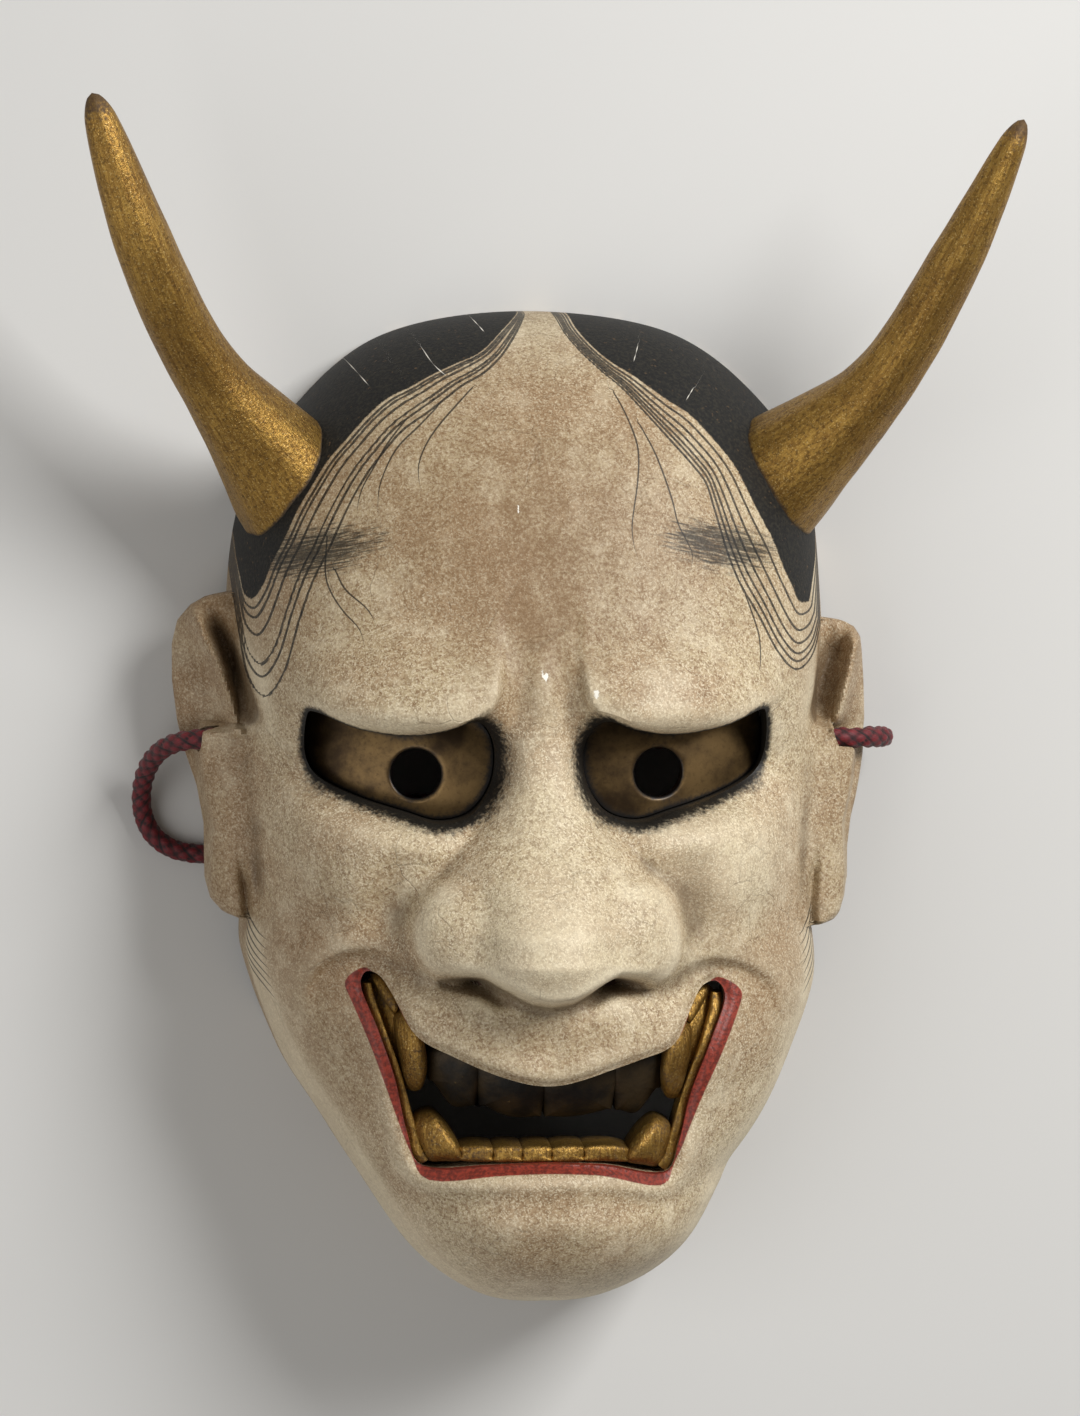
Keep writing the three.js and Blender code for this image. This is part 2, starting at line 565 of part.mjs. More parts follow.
function shell() {
  const hollowSheet = headSheet(GRID_X / 2, GRID_Y / 2, WALL, hollowHeight);
  const hollow = solid(between(hollowSheet, flattened(hollowSheet, -20)));
  const collarTop = solid(slab(mouthBox(8), [14, 8], (x, y) => massesOver(x, y) - 3, () => FACE_DEPTH - COLLAR_DEEP));
  const collar = collarTop.intersect(solid(prism(outline(mirrored(MOUTH_HALF), 2, MOUTH_COLLAR), 20, 110)));
  const mouth = solid(prism(outline(mirrored(MOUTH_HALF), 3), 20, 110));
  let body = solid(shellBetween(outerSheet, hollowSheet)).add(collar);
  Object.keys(SIDES).forEach((side) => {
    body = body.add(ear(side).subtract(hollow));
  });
  body = body.subtract(mouth);
  Object.keys(SIDES).forEach((side) => {
    body = body.subtract(eyePocket(side)).subtract(solid(roundBar(pupilPlace(side), PUPIL + 2 * PUPIL_SHOULDER, 20, 60)))
      .subtract(cordHole(side));
  });
  return geometryOf(body);
}

function eyePlate(side) {
  const plate = solid(slab(eyeBox(side), EYE_GRID, eyeFront, (x, y) => eyeFront(x, y) - EYE_PLATE));
  const cut = plate.intersect(solid(prism(eyeOutline(side, TOUCH), 20, 99)))
    .subtract(solid(roundBar(pupilPlace(side), PUPIL, 20, 99)));
  return geometryOf(cut);
}

// Teeth

/** Swelling of each tooth in a row of equal ones. */
const toothRound = (x, width) => 1.3 * (1 - Math.abs(2 * (x / width - Math.floor(x / width)) - 1) ** 4);

const UPPER_HALF = [[0, -66.2], [8, -64.8], [19, -60.4], [26.5, -56], [30.6, -48.5], [32.2, -45.4], [33, -48],
  [31.6, -55], [29.6, -62], [28.2, -66.4], [26.6, -66.6], [24.8, -63.6], [23.6, -66.5], [18, -69.8], [12.4, -70.8],
  [6, -71.6], [0, -71]];
const LOWER_HALF = [[0, -78.6], [9, -78.2], [17, -77.8], [20.6, -74.6], [23.2, -71.8], [25.8, -71.4], [27.6, -68.2],
  [30.6, -60], [33.6, -51], [36.2, -44.6], [37.2, -45.4], [35, -53.5], [31.4, -64.4], [28.8, -75.2],
  [25.4, -82.4], [12, -81.6], [0, -81]];
const INCISOR = 12;
const LOWER_TOOTH = 8.4;

/** One row of teeth, cut to its outline and to the mouth, with its front let back behind the lips. */
function teeth(half, width, recess) {
  const front = (x, y) => massesOver(x, y) - recess(Math.abs(x) / STRETCH.x, y / STRETCH.y)
    + toothRound(x / STRETCH.x, width);
  const block = solid(slab(mouthBox(3), TEETH_GRID, front, () => FACE_DEPTH - TEETH_DEEP));
  const room = solid(prism(outline(mirrored(MOUTH_HALF), 3, -TOUCH), 20, 110));
  return geometryOf(block.intersect(solid(prism(outline(mirrored(half), 1), 20, 110))).intersect(room));
}

const upperRecess = (x) => mix(9, 4.2, ease((x - 22) / 4));
const lowerRecess = (x, y) => mix(3.6, 2.4, ease((y + 76) / 4));

// Horns

const HORNS = {
  left: { base: [-51.5, 63, 27], bend: [-71.4, 89.5, 44], middle: [-82.6, 113, 56], tip: [-92, 140.4, 63] },
  right: { base: [53, 61.5, 27], bend: [73.5, 82, 44], middle: [88.2, 108, 56], tip: [100.3, 135.4, 63] },
};

/** A horn from inside the head to its rounded tip, trimmed to the head's surface. */
function horn(side) {
  const marks = HORNS[side];
  const scaled = (p) => new THREE.Vector3(...p).multiply(STRETCH);
  const [base, bend, middle, tip] = [marks.base, marks.bend, marks.middle, marks.tip].map(scaled);
  const rootPoint = base.clone().multiplyScalar(2).sub(bend).lerp(base, 0.1);
  const path = new THREE.CatmullRomCurve3([rootPoint, base, bend, middle, tip], false, 'centripetal');
  const count = 14;
  const shares = Array.from({ length: count }, (_, i) => i / (count - 1));
  const tipShares = [0.965, 0.985, 0.996];
  const at = shares.filter((s) => s < 0.955).concat(tipShares);
  const radius = (share) => {
    const swell = steps(share, [0, 0.22, 0.36, 0.46, 0.6, 0.72, 0.9, 1],
      [HORN_BASE, HORN_BASE, mix(HORN_BASE, HORN_MIDDLE, 0.5), mix(HORN_BASE, HORN_MIDDLE, 0.86), HORN_MIDDLE,
        HORN_MIDDLE, HORN_TOP, HORN_TOP * 0.72]);
    const fromTip = clamp((1 - share) / 0.045);
    return swell * Math.sqrt(1 - (1 - fromTip) ** 2);
  };
  const raw = tube(at.map((s) => path.getPointAt(s)), (i) => radius(spread(i, at)), 11);
  const skin = solid(between(
    headSheet(GRID_X, GRID_Y, -TOUCH, (x, y, h) => faceHeight(x, y, h) + TOUCH * (0.4 + h)), flattened(outerSheet, -20)));
  return geometryOf(solid(raw).subtract(skin));
}

// Finishes

const FINISH = {
  gofun: new THREE.MeshStandardMaterial({ name: 'gofun', color: 0xb8a78c, roughness: 0.55, metalness: 0 }),
  gilt: new THREE.MeshStandardMaterial({ name: 'gilt', color: 0xa07a35, roughness: 0.4, metalness: 0.8 }),
  eyeMetal: new THREE.MeshStandardMaterial({ name: 'eye_metal', color: 0x4a3517, roughness: 0.4, metalness: 0.8 }),
  silk: new THREE.MeshStandardMaterial({ name: 'silk', color: 0x5c1218, roughness: 0.7, metalness: 0 }),
};

/** Knot of a cord's end, flattened where it lies. */
function knot([x, y, z]) {
  return new THREE.SphereGeometry(KNOT / 2, 7, 5).rotateX(Math.PI / 2).scale(1, 1, KNOT_FLAT).translate(x, y, z);
}

const mask = new THREE.Group();

/** Adds one named piece to the mask. */
function piece(name, geometry, material) {
  const mesh = new THREE.Mesh(geometry, material);
  mesh.name = name;
  mask.add(mesh);
  return mesh;
}

piece('mask_shell', shell(), FINISH.gofun);
piece('teeth_upper', teeth(UPPER_HALF, INCISOR, upperRecess), FINISH.gilt);
piece('teeth_lower', teeth(LOWER_HALF, LOWER_TOOTH, lowerRecess), FINISH.gilt);
Object.keys(SIDES).forEach((side) => {
  piece(`eye_${side}`, eyePlate(side), FINISH.eyeMetal);
  piece(`horn_${side}`, horn(side), FINISH.gilt);
});

// The origin is under the middle of the mask without its cords
const around = new THREE.Box3().setFromObject(mask);
const middle = around.getCenter(new THREE.Vector3());

Object.keys(SIDES).forEach((side) => {
  const [start] = ROUTES[side];
  piece(`cord_${side}`, cordTube(side), FINISH.silk);
  piece(`cord_${side}_coil`, cordCoil(side), FINISH.silk);
  piece(`cord_${side}_knot`, knot([start[0] - SIDES[side] * (KNOT / 2 + TOUCH), start[1], start[2]]), FINISH.silk);
  piece(`cord_${side}_end`, knot([...END_KNOTS[side], (KNOT / 2) * KNOT_FLAT]), FINISH.silk);
});

const group = new THREE.Group();
mask.position.set(-middle.x, -middle.y, 0);
group.add(mask);

export default group;
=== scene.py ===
"""Hannya mask of carved and painted wood, lying face up on its back rim.

Lengths are in millimetres in the mask's own frame, and become metres where a mesh is made. The origin is on
the eye line, x runs to the viewer's right, y towards the horns and z out of the face, with the rim at z = 0.
"""

import logging
import math
from dataclasses import dataclass, field
from enum import Enum
from typing import Callable, Sequence

import bpy
import numpy as np
from mathutils import Matrix, Vector


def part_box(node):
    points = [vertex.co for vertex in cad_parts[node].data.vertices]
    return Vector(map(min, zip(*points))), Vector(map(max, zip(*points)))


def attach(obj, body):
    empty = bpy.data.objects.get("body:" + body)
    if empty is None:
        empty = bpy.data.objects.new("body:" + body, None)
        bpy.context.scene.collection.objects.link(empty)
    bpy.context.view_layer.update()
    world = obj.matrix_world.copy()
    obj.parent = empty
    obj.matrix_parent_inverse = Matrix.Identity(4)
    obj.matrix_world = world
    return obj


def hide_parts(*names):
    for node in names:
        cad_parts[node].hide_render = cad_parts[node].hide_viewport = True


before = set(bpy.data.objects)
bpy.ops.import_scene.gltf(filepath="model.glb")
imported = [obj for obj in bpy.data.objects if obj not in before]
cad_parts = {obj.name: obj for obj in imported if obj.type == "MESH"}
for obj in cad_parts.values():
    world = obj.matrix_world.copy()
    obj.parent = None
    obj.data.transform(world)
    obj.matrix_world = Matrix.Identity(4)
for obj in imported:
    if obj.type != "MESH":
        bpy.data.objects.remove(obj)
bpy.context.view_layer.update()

Array = np.ndarray
Points = Sequence[Sequence[float]]
Solid = tuple[Array, list]
Height = Callable[[Array, Array], Array]
Piece = bpy.types.Object
Material = bpy.types.Material
Node = bpy.types.Node
Socket = bpy.types.NodeSocket
LOG = logging.getLogger("hannya")
FULL_TURN = 2 * np.pi
CORD_DIAMETER = 4.5
UNDER, OVER = -20.0, 110.0  # heights well below and above the whole mask
BEHIND_FACE = 20.0  # height under every opening in the face
EYE_LINE_UP = 0.01045  # metres from the middle of the shell's box to the eye line


class Side(Enum):
    """The viewer's side of the mask."""

    LEFT = -1
    RIGHT = 1

    @property
    def word(self) -> str:
        """Its name as the pieces carry it."""
        return self.name.lower()


# Small maths


def ease(t: Array) -> Array:
    """Smooth step from 0 to 1."""
    t = np.clip(t, 0, 1)
    return t * t * (3 - 2 * t)


def blend_max(a: Array, b: Array, k: float) -> Array:
    """Larger of two heights, blended over k."""
    h = np.clip(0.5 + 0.5 * (a - b) / k, 0, 1)
    return b + (a - b) * h + k * h * (1 - h)


def smooth_line(points: Points, closed: bool = False, per: int = 6) -> Array:
    """A smooth curve through points.

    Args:
        points: Two or three coordinates each.
        closed: Whether the last point joins the first.
        per: Pieces between two points.

    Returns:
        The curve's points, one row each.
    """
    p = np.array(points, float)
    ring = np.vstack([p[-1:], p, p[:2]]) if closed else np.vstack([2 * p[0] - p[1], p, 2 * p[-1] - p[-2]])
    t = (np.arange(per) / per)[:, None]
    spans = []
    for a, b, c, d in zip(ring, ring[1:], ring[2:], ring[3:]):
        spans.append(0.5 * (2 * b + (c - a) * t + (2 * a - 5 * b + 4 * c - d) * t ** 2
                            + (3 * b - 3 * c + d - a) * t ** 3))
    out = np.vstack(spans)
    return out if closed else np.vstack([out, p[-1:]])


def mirrored(half: Points) -> list:
    """A closed outline from its right half, given from top to bottom."""
    return list(half) + [(-x, y) for x, y in half[-2:0:-1]]


def nearest(x: Array, y: Array, line: Array, closed: bool = False) -> tuple[Array, Array, Array]:
    """Distance from places to a line.

    Args:
        x: Places across.
        y: Places along.
        line: The line's points.
        closed: Whether its last point joins the first.

    Returns:
        The distance, the share along the line and the side, which is positive on its left.
    """
    line = np.vstack([line, line[:1]]) if closed else np.asarray(line)
    lengths = np.linalg.norm(np.diff(line, axis=0), axis=1)
    best, share, side = np.full(np.shape(x), 1e9), np.zeros(np.shape(x)), np.zeros(np.shape(x))
    run = 0.0
    for (ax, ay), (bx, by), length in zip(line[:-1], line[1:], lengths):
        dx, dy = bx - ax, by - ay
        t = np.clip(((x - ax) * dx + (y - ay) * dy) / (length * length + 1e-12), 0, 1)
        ex, ey = x - (ax + t * dx), y - (ay + t * dy)
        d = ex * ex + ey * ey
        near = d < best
        best = np.where(near, d, best)
        share = np.where(near, run + t * length, share)
        side = np.where(near, np.sign(dx * ey - dy * ex), side)
        run += length
    return np.sqrt(best), share / lengths.sum(), side


def inside(x: Array, y: Array, line: Array) -> Array:
    """Whether places lie inside a closed line."""
    odd = np.zeros(np.shape(x), bool)
    for (ax, ay), (bx, by) in zip(line, np.roll(line, -1, 0)):
        if ay != by:
            odd ^= ((ay > y) != (by > y)) & (x < (bx - ax) * (y - ay) / (by - ay) + ax)
    return odd


def outside_by(x: Array, y: Array, line: Array) -> Array:
    """Distance to a closed line, negative inside it."""
    return np.where(inside(x, y, line), -1, 1) * nearest(x, y, line, closed=True)[0]


def mound(x: Array, y: Array, cx: float, cy: float, rx: float, ry: float, turn: float = 0.0,
          power: float = 1.0) -> Array:
    """A rounded swelling of height 1 at (cx, cy), turned by degrees."""
    u, v = turned(x, y, cx, cy, turn)
    return np.exp(-(((u / rx) ** 2 + (v / ry) ** 2) ** power))


def mounds(x: Array, y: Array, rows: Sequence[Sequence[float]]) -> Array:
    """Several swellings in one, each a height and then what mound takes."""
    return sum(height * mound(x, y, *shape) for height, *shape in rows)


def spread(share: Array, values: Sequence[float]) -> Array:
    """Values laid evenly along a share from 0 to 1."""
    return np.interp(share, np.linspace(0, 1, len(values)), values)


def fading(distance: Array, width: float | Array) -> Array:
    """Share that falls off smoothly from 1 on both sides of a line."""
    return np.exp(-((distance / width) ** 2))


def unit(rows: Array) -> Array:
    """Rows of numbers, each as a direction of length 1."""
    return rows / np.linalg.norm(rows, axis=1)[:, None]


def run_along(line: Array) -> Array:
    """How far along a line each of its points lies."""
    return np.concatenate([[0], np.cumsum(np.linalg.norm(np.diff(line, axis=0), axis=1))])


def evenly(line: Array, count: int) -> Array:
    """A line again, as a count of points in even steps."""
    run = run_along(line)
    even = np.linspace(0, run[-1], count)
    return np.c_[tuple(np.interp(even, run, column) for column in line.T)]


def turned(x: Array, y: Array, cx: float, cy: float, degrees: float) -> tuple[Array, Array]:
    """Places seen from a middle, along axes turned by degrees."""
    c, s = math.cos(math.radians(degrees)), math.sin(math.radians(degrees))
    return (x - cx) * c + (y - cy) * s, -(x - cx) * s + (y - cy) * c


def stroke(x: Array, y: Array, line: Array, width: float, heights: Sequence[float]) -> Array:
    """A ridge or groove along a line, with heights spread along it."""
    d, share, _ = nearest(x, y, line)
    return spread(share, heights) * fading(d, width)


def edge(x: Array, y: Array, line: Array, soft: float, sharp: float, heights: Sequence[float]) -> Array:
    """A ridge that is soft on its left and falls fast on its right."""
    d, share, side = nearest(x, y, line)
    return spread(share, heights) * fading(d, np.where(side > 0, soft, sharp))


def lump(x: Array, y: Array, centre: Sequence[float], radii: Sequence[float]) -> Array:
    """The front of an ellipsoid, falling away outside it."""
    q = ((x - centre[0]) / radii[0]) ** 2 + ((y - centre[1]) / radii[1]) ** 2
    falling = -30 * (np.sqrt(q) - 1)
    return centre[2] + np.where(q < 1, radii[2] * np.sqrt(np.clip(1 - q, 0, 1)), falling)


def uneven(x: Array, y: Array, size: float, seed: int) -> Array:
    """Soft unevenness of about -1 to 1 with swells of a size, the same on each run.

    Args:
        x: Places across.
        y: Places along.
        size: Breadth of the swells.
        seed: Which unevenness it is.

    Returns:
        Its value at each place.
    """
    rng = np.random.default_rng(seed)
    total = np.zeros(np.shape(x))
    for _ in range(14):
        turn, phase, scale = rng.uniform(0, FULL_TURN), rng.uniform(0, FULL_TURN), rng.uniform(0.6, 1.8)
        total = total + np.sin((x * np.cos(turn) + y * np.sin(turn)) * scale * FULL_TURN / size + phase)
    return total / 5


# The carved form


BROW_EDGE = smooth_line([(8.6, 27), (10.2, 16), (14.5, 12.2), (21, 9.9), (29, 8.8), (40, 10.6), (48, 14.2),
                         (54, 17)])
FOLD_RIDGE = smooth_line([(27, -39.5), (32, -37), (38, -36.6), (44, -39), (47.8, -45), (48.5, -53)])
FOLD_GROOVE = smooth_line([(29, -41), (36, -39), (42, -40), (46, -45), (46.5, -52)])
WING_CREASE = smooth_line([(12.5, -22), (15, -29), (14, -37), (11, -43)])
NOSTRIL = smooth_line([(9.5, -46.6), (14, -43.6), (20.5, -42.8)])
CHIN_CLEFT = smooth_line([(0, -100), (0.5, -116)])
EYE_OUTLINE = [(10.4, 8.5), (9.2, 3.5), (10.3, -3), (14.5, -8.6), (21, -10.4), (28, -8.6), (38, -5.5),
               (46, -1.5), (48.8, 3.5), (48.6, 11.5), (46.5, 12.8), (38, 9.6), (28, 8.2), (20, 9.4),
               (14, 11.4)]
MOUTH_HALF = [(0, -64.5), (9.2, -62.7), (19.4, -58.6), (27.2, -54.4), (31.6, -46.2), (34, -42.6), (36.8, -42),
              (37.8, -45.5), (35, -53.5), (31.4, -64.4), (28.8, -75.2), (25.4, -82.4), (12, -81.6), (0, -81)]
EYE = smooth_line(EYE_OUTLINE, closed=True)
MOUTH = smooth_line(mirrored(MOUTH_HALF), closed=True)


@dataclass
class Carving:
    """The head's form: a dome over an outline, with the face carved on it and a hollow behind."""

    half_outline: Points = ((0, 96.6), (30.4, 91.5), (50, 75.5), (61.5, 56), (65, 25), (63, -15), (60.5, -42),
                            (53, -64), (39.5, -87), (28, -105.5), (14, -115.5), (0, -117.5))
    centre: tuple[float, float] = (0.0, -6.0)
    depth: float = 67.0
    wall: float = 6.5
    rim_lift: float = 7.0
    fuller: float = 3.0
    angles: Array = field(init=False)
    radii: Array = field(init=False)

    def __post_init__(self) -> None:
        """Lays out the outline as distances from the centre by angle."""
        ring = smooth_line(mirrored(self.half_outline), closed=True, per=24) - self.centre
        angle = np.arctan2(ring[:, 1], ring[:, 0])
        order = np.argsort(angle)
        angle, radius = angle[order], np.hypot(ring[:, 0], ring[:, 1])[order]
        radius = radius + self.fuller * fading(angle - 0.98, 0.3)
        self.angles = np.concatenate([angle[-1:] - FULL_TURN, angle, angle[:1] + FULL_TURN])
        self.radii = np.concatenate([radius[-1:], radius, radius[:1]])

    @staticmethod
    def dome(share: Array, y: Array) -> Array:
        """Height share of the dome at a share of the way out, squarer towards the jaw."""
        n = 2.35 + 1.5 * ease((-y - 20) / 70)
        return (1 - np.clip(share, 0, 1) ** n) ** (1 / n)

    def dome_at(self, x: Array, y: Array) -> Array:
        """Height share of the dome at a place in the front view."""
        dx, dy = x - self.centre[0], y - self.centre[1]
        return self.dome(np.hypot(dx, dy) / np.interp(np.arctan2(dy, dx), self.angles, self.radii), y)

    def rim(self, y: Array) -> Array:
        """The rim's height: cut back beside the ears, so that a cord passes under it."""
        return self.rim_lift * ease((46 - y) / 24) * ease((y + 62) / 24)

    @staticmethod
    def masses(x: Array, y: Array) -> Array:
        """Masses of the face that are also hollowed from behind."""
        middle = [(2, 0, 60, 40, 34), (9, 0, -55, 36, 15, 0, 2), (4, 0, -78, 33, 14, 0, 1.6),
                  (11, 0, -99, 27, 14, 0, 1.7)]
        sides = [(6, 28, 17, 25, 10, 0, 1.3), (-7.5, 28, 0, 24, 9.5, 0, 1.8), (6, 40, -20, 17, 12, 12, 1.3)]
        return mounds(x, y, middle) + mounds(np.abs(x), y, sides)

    @staticmethod
    def nose(x: Array, y: Array, z: Array) -> Array:
        """The face's height with the nose: a bridge that broadens into tip and wings.

        Args:
            x: Places across.
            y: Places along.
            z: Height without the nose.

        Returns:
            Height with it.
        """
        m, down = np.abs(x - 1), -y
        crest = np.interp(down, [-26, -16, -6, 4, 14, 24, 32, 38, 48],
                          [60, 65.5, 68.5, 71.5, 77, 85, 90.5, 91.5, 86])
        width = np.interp(down, [-26, -8, 2, 10, 17, 23, 30, 48], [5, 8, 10, 14, 19.5, 25, 27.5, 26])
        t = np.clip(m / width, 0, 1)
        bridge = (1 - t ** 2.2) ** 0.9
        broad = 0.5 * (1 - t ** 5) + 0.5 * np.exp(-((m / 14.5) ** 2.4))
        foot = z - 1.5
        full = foot + np.maximum(crest - foot, 0) * (bridge + (broad - bridge) * ease((down - 12) / 14))
        under = np.interp(m, [0, 4, 9, 14, 20, 25, 28], [-48.6, -48, -45.6, -43.2, -42.6, -40.5, -36])
        cut = ease((y - under + 1) / 5) * (1 - ease((y - 18) / 10))
        z = blend_max(z, foot + (full - foot) * cut, 2.5)
        z = blend_max(z, lump(m, y, (18.2, -32.5, 66), (10.4, 11.5, 12.2)), 8)
        return z - stroke(m, y, WING_CREASE, 3.2, [0, 0.3, 0.6, 0.5])

    @staticmethod
    def cuts(x: Array, y: Array) -> Array:
        """Crisper cuts: brow edge, frown, pouches, folds, rolled lips, lids, nostrils and chin.

        Args:
            x: Places across.
            y: Places along.

        Returns:
            What the cuts add to the height.
        """
        m = np.abs(x)
        to_mouth = outside_by(x, y, MOUTH)
        to_eye = outside_by(m, y, EYE)
        middle = [(1.6, 0, 17, 2.6, 9), (-1.6, 0, -90, 20, 3.5), (-1.2, 0, -55, 3.4, 7)]
        sides = [(-1.6, 5.4, 15, 2.2, 7, 12), (-4, 12, 4, 4.5, 8), (2, 27, -14, 13, 4.5, 10, 1.2),
                 (-3.2, 32.5, -27, 5.2, 10, 14)]
        return (mounds(x, y, middle) + mounds(m, y, sides)
                + edge(m, y, BROW_EDGE, 7, 1.0, [0.6, 2.6, 3.8, 4.2, 4.2, 3.4, 2.2, 0.2])
                + edge(m, y, FOLD_RIDGE, 5.5, 1.6, [0.6, 2, 2.2, 2, 1.2, 0.2])
                - stroke(m, y, FOLD_GROOVE, 2.6, [0.4, 1.1, 1.2, 1, 0.2])
                - 0.9 * stroke(x, y, CHIN_CLEFT, 1.6, [0, 1.4])
                + 1.5 * fading(to_mouth - 3.4, 2.2) * ease((-y - 50) / 20)
                - 1.3 * (1 - ease(to_mouth / 1.7)) * (to_mouth < 3)
                - 0.7 * (1 - ease(to_eye / 1.1)) * (to_eye < 2)
                - stroke(m, y, NOSTRIL, 1.5, [2, 8, 3])
                + 0.12 * uneven(x, y, 22, 3) + 0.05 * uneven(x, y, 7, 4))

    @staticmethod
    def face_share(h: Array) -> Array:
        """Share of the carving that applies at a dome height share."""
        return ease((h - 0.25) / 0.5)

    def face(self, x: Array, y: Array, h: Array) -> Array:
        """Height of the carved face at a place and its dome height share."""
        plain = self.depth * h
        carved = self.nose(x, y, plain + self.masses(x, y)) + self.cuts(x, y)
        channel = 7.5 * self.ear_channel(x, y) * ease(h / 0.3)
        return plain + (carved - plain) * self.face_share(h) + self.rim(y) * (1 - h) - channel

    @staticmethod
    def ear_ridge(x: Array, y: Array) -> Array:
        """How far out the ridge of the ear stands, more upright on the right."""
        left = np.interp(y, [4, 14, 20, 28, 33], [61.6, 64, 66.2, 70, 71.5])
        return np.where(x < 0, left, np.interp(y, [4, 23.3, 29], [65.6, 70.8, 71.6]))

    def ear_channel(self, x: Array, y: Array) -> Array:
        """Share of depth of the channel between the head and the ear's ridge."""
        inward, width = np.where(x < 0, 3.4, 4.4), np.where(x < 0, 2.1, 2.7)
        share = fading(np.abs(x) - self.ear_ridge(x, y) + inward, width)
        return share * ease((y - 7) / 5) * ease((np.where(x < 0, 34, 30) - y) / 8)

    def face_at(self, x: Array, y: Array) -> Array:
        """Height of the carved face at a place."""
        return self.face(x, y, self.dome_at(x, y))

    def masses_at(self, x: Array, y: Array) -> Array:
        """Height of the face without nose and fine cuts at a place."""
        h = self.dome_at(x, y)
        return self.depth * h + self.masses(x, y) * self.face_share(h)

    def hollow(self, x: Array, y: Array, h: Array) -> Array:
        """Height of the hollow behind the face, with shallow gouge marks."""
        follow = (0.85 * self.masses(x, y) - 9 * mound(np.abs(x), y, 25, 2, 29, 17, 0, 2.2)
                  + 9 * mound(x, y, 1, -33, 15, 13, 0, 1.3))
        gouged = 0.35 * np.abs(uneven(x, y, 17, 8)) * ease(h * 3)
        return (self.depth - self.wall) * h + follow * self.face_share(h) + self.rim(y) * (1 - h) - gouged

    def sheet(self, columns: int, rows: int, inset: float,
              height: Callable[[Array, Array, Array], Array]) -> Array:
        """A grid of points over the head's outline.

        Args:
            columns: Cells across.
            rows: Cells along.
            inset: How far the outline is drawn in.
            height: Height from x, y and the dome height share.

        Returns:
            Points of shape (rows + 1, columns + 1, 3), closer together at the nose and mouth.
        """
        a, b = np.meshgrid(focused(columns, 0.0, 0.4), focused(rows, -0.16, 0.6))
        u, v = a * np.sqrt(1 - b ** 2 / 2), b * np.sqrt(1 - a ** 2 / 2)
        angle = np.arctan2(v, u)
        share = np.sin(np.pi / 2 * np.clip(np.hypot(u, v), 0, 1))
        reach = np.interp(angle, self.angles, self.radii)
        x = self.centre[0] + share * (reach - inset) * np.cos(angle)
        y = self.centre[1] + share * (reach - inset) * np.sin(angle)
        return np.stack([x, y, height(x, y, self.dome(share, y))], -1)


def focused(count: int, focus: float, pull: float) -> Array:
    """Even steps from -1 to 1 drawn together around a focus."""
    t = np.linspace(-1, 1, count + 1)
    warp = t - pull / np.pi * np.sin(np.pi * (t - focus))
    return -1 + 2 * (warp - warp[0]) / (warp[-1] - warp[0])


# Meshes


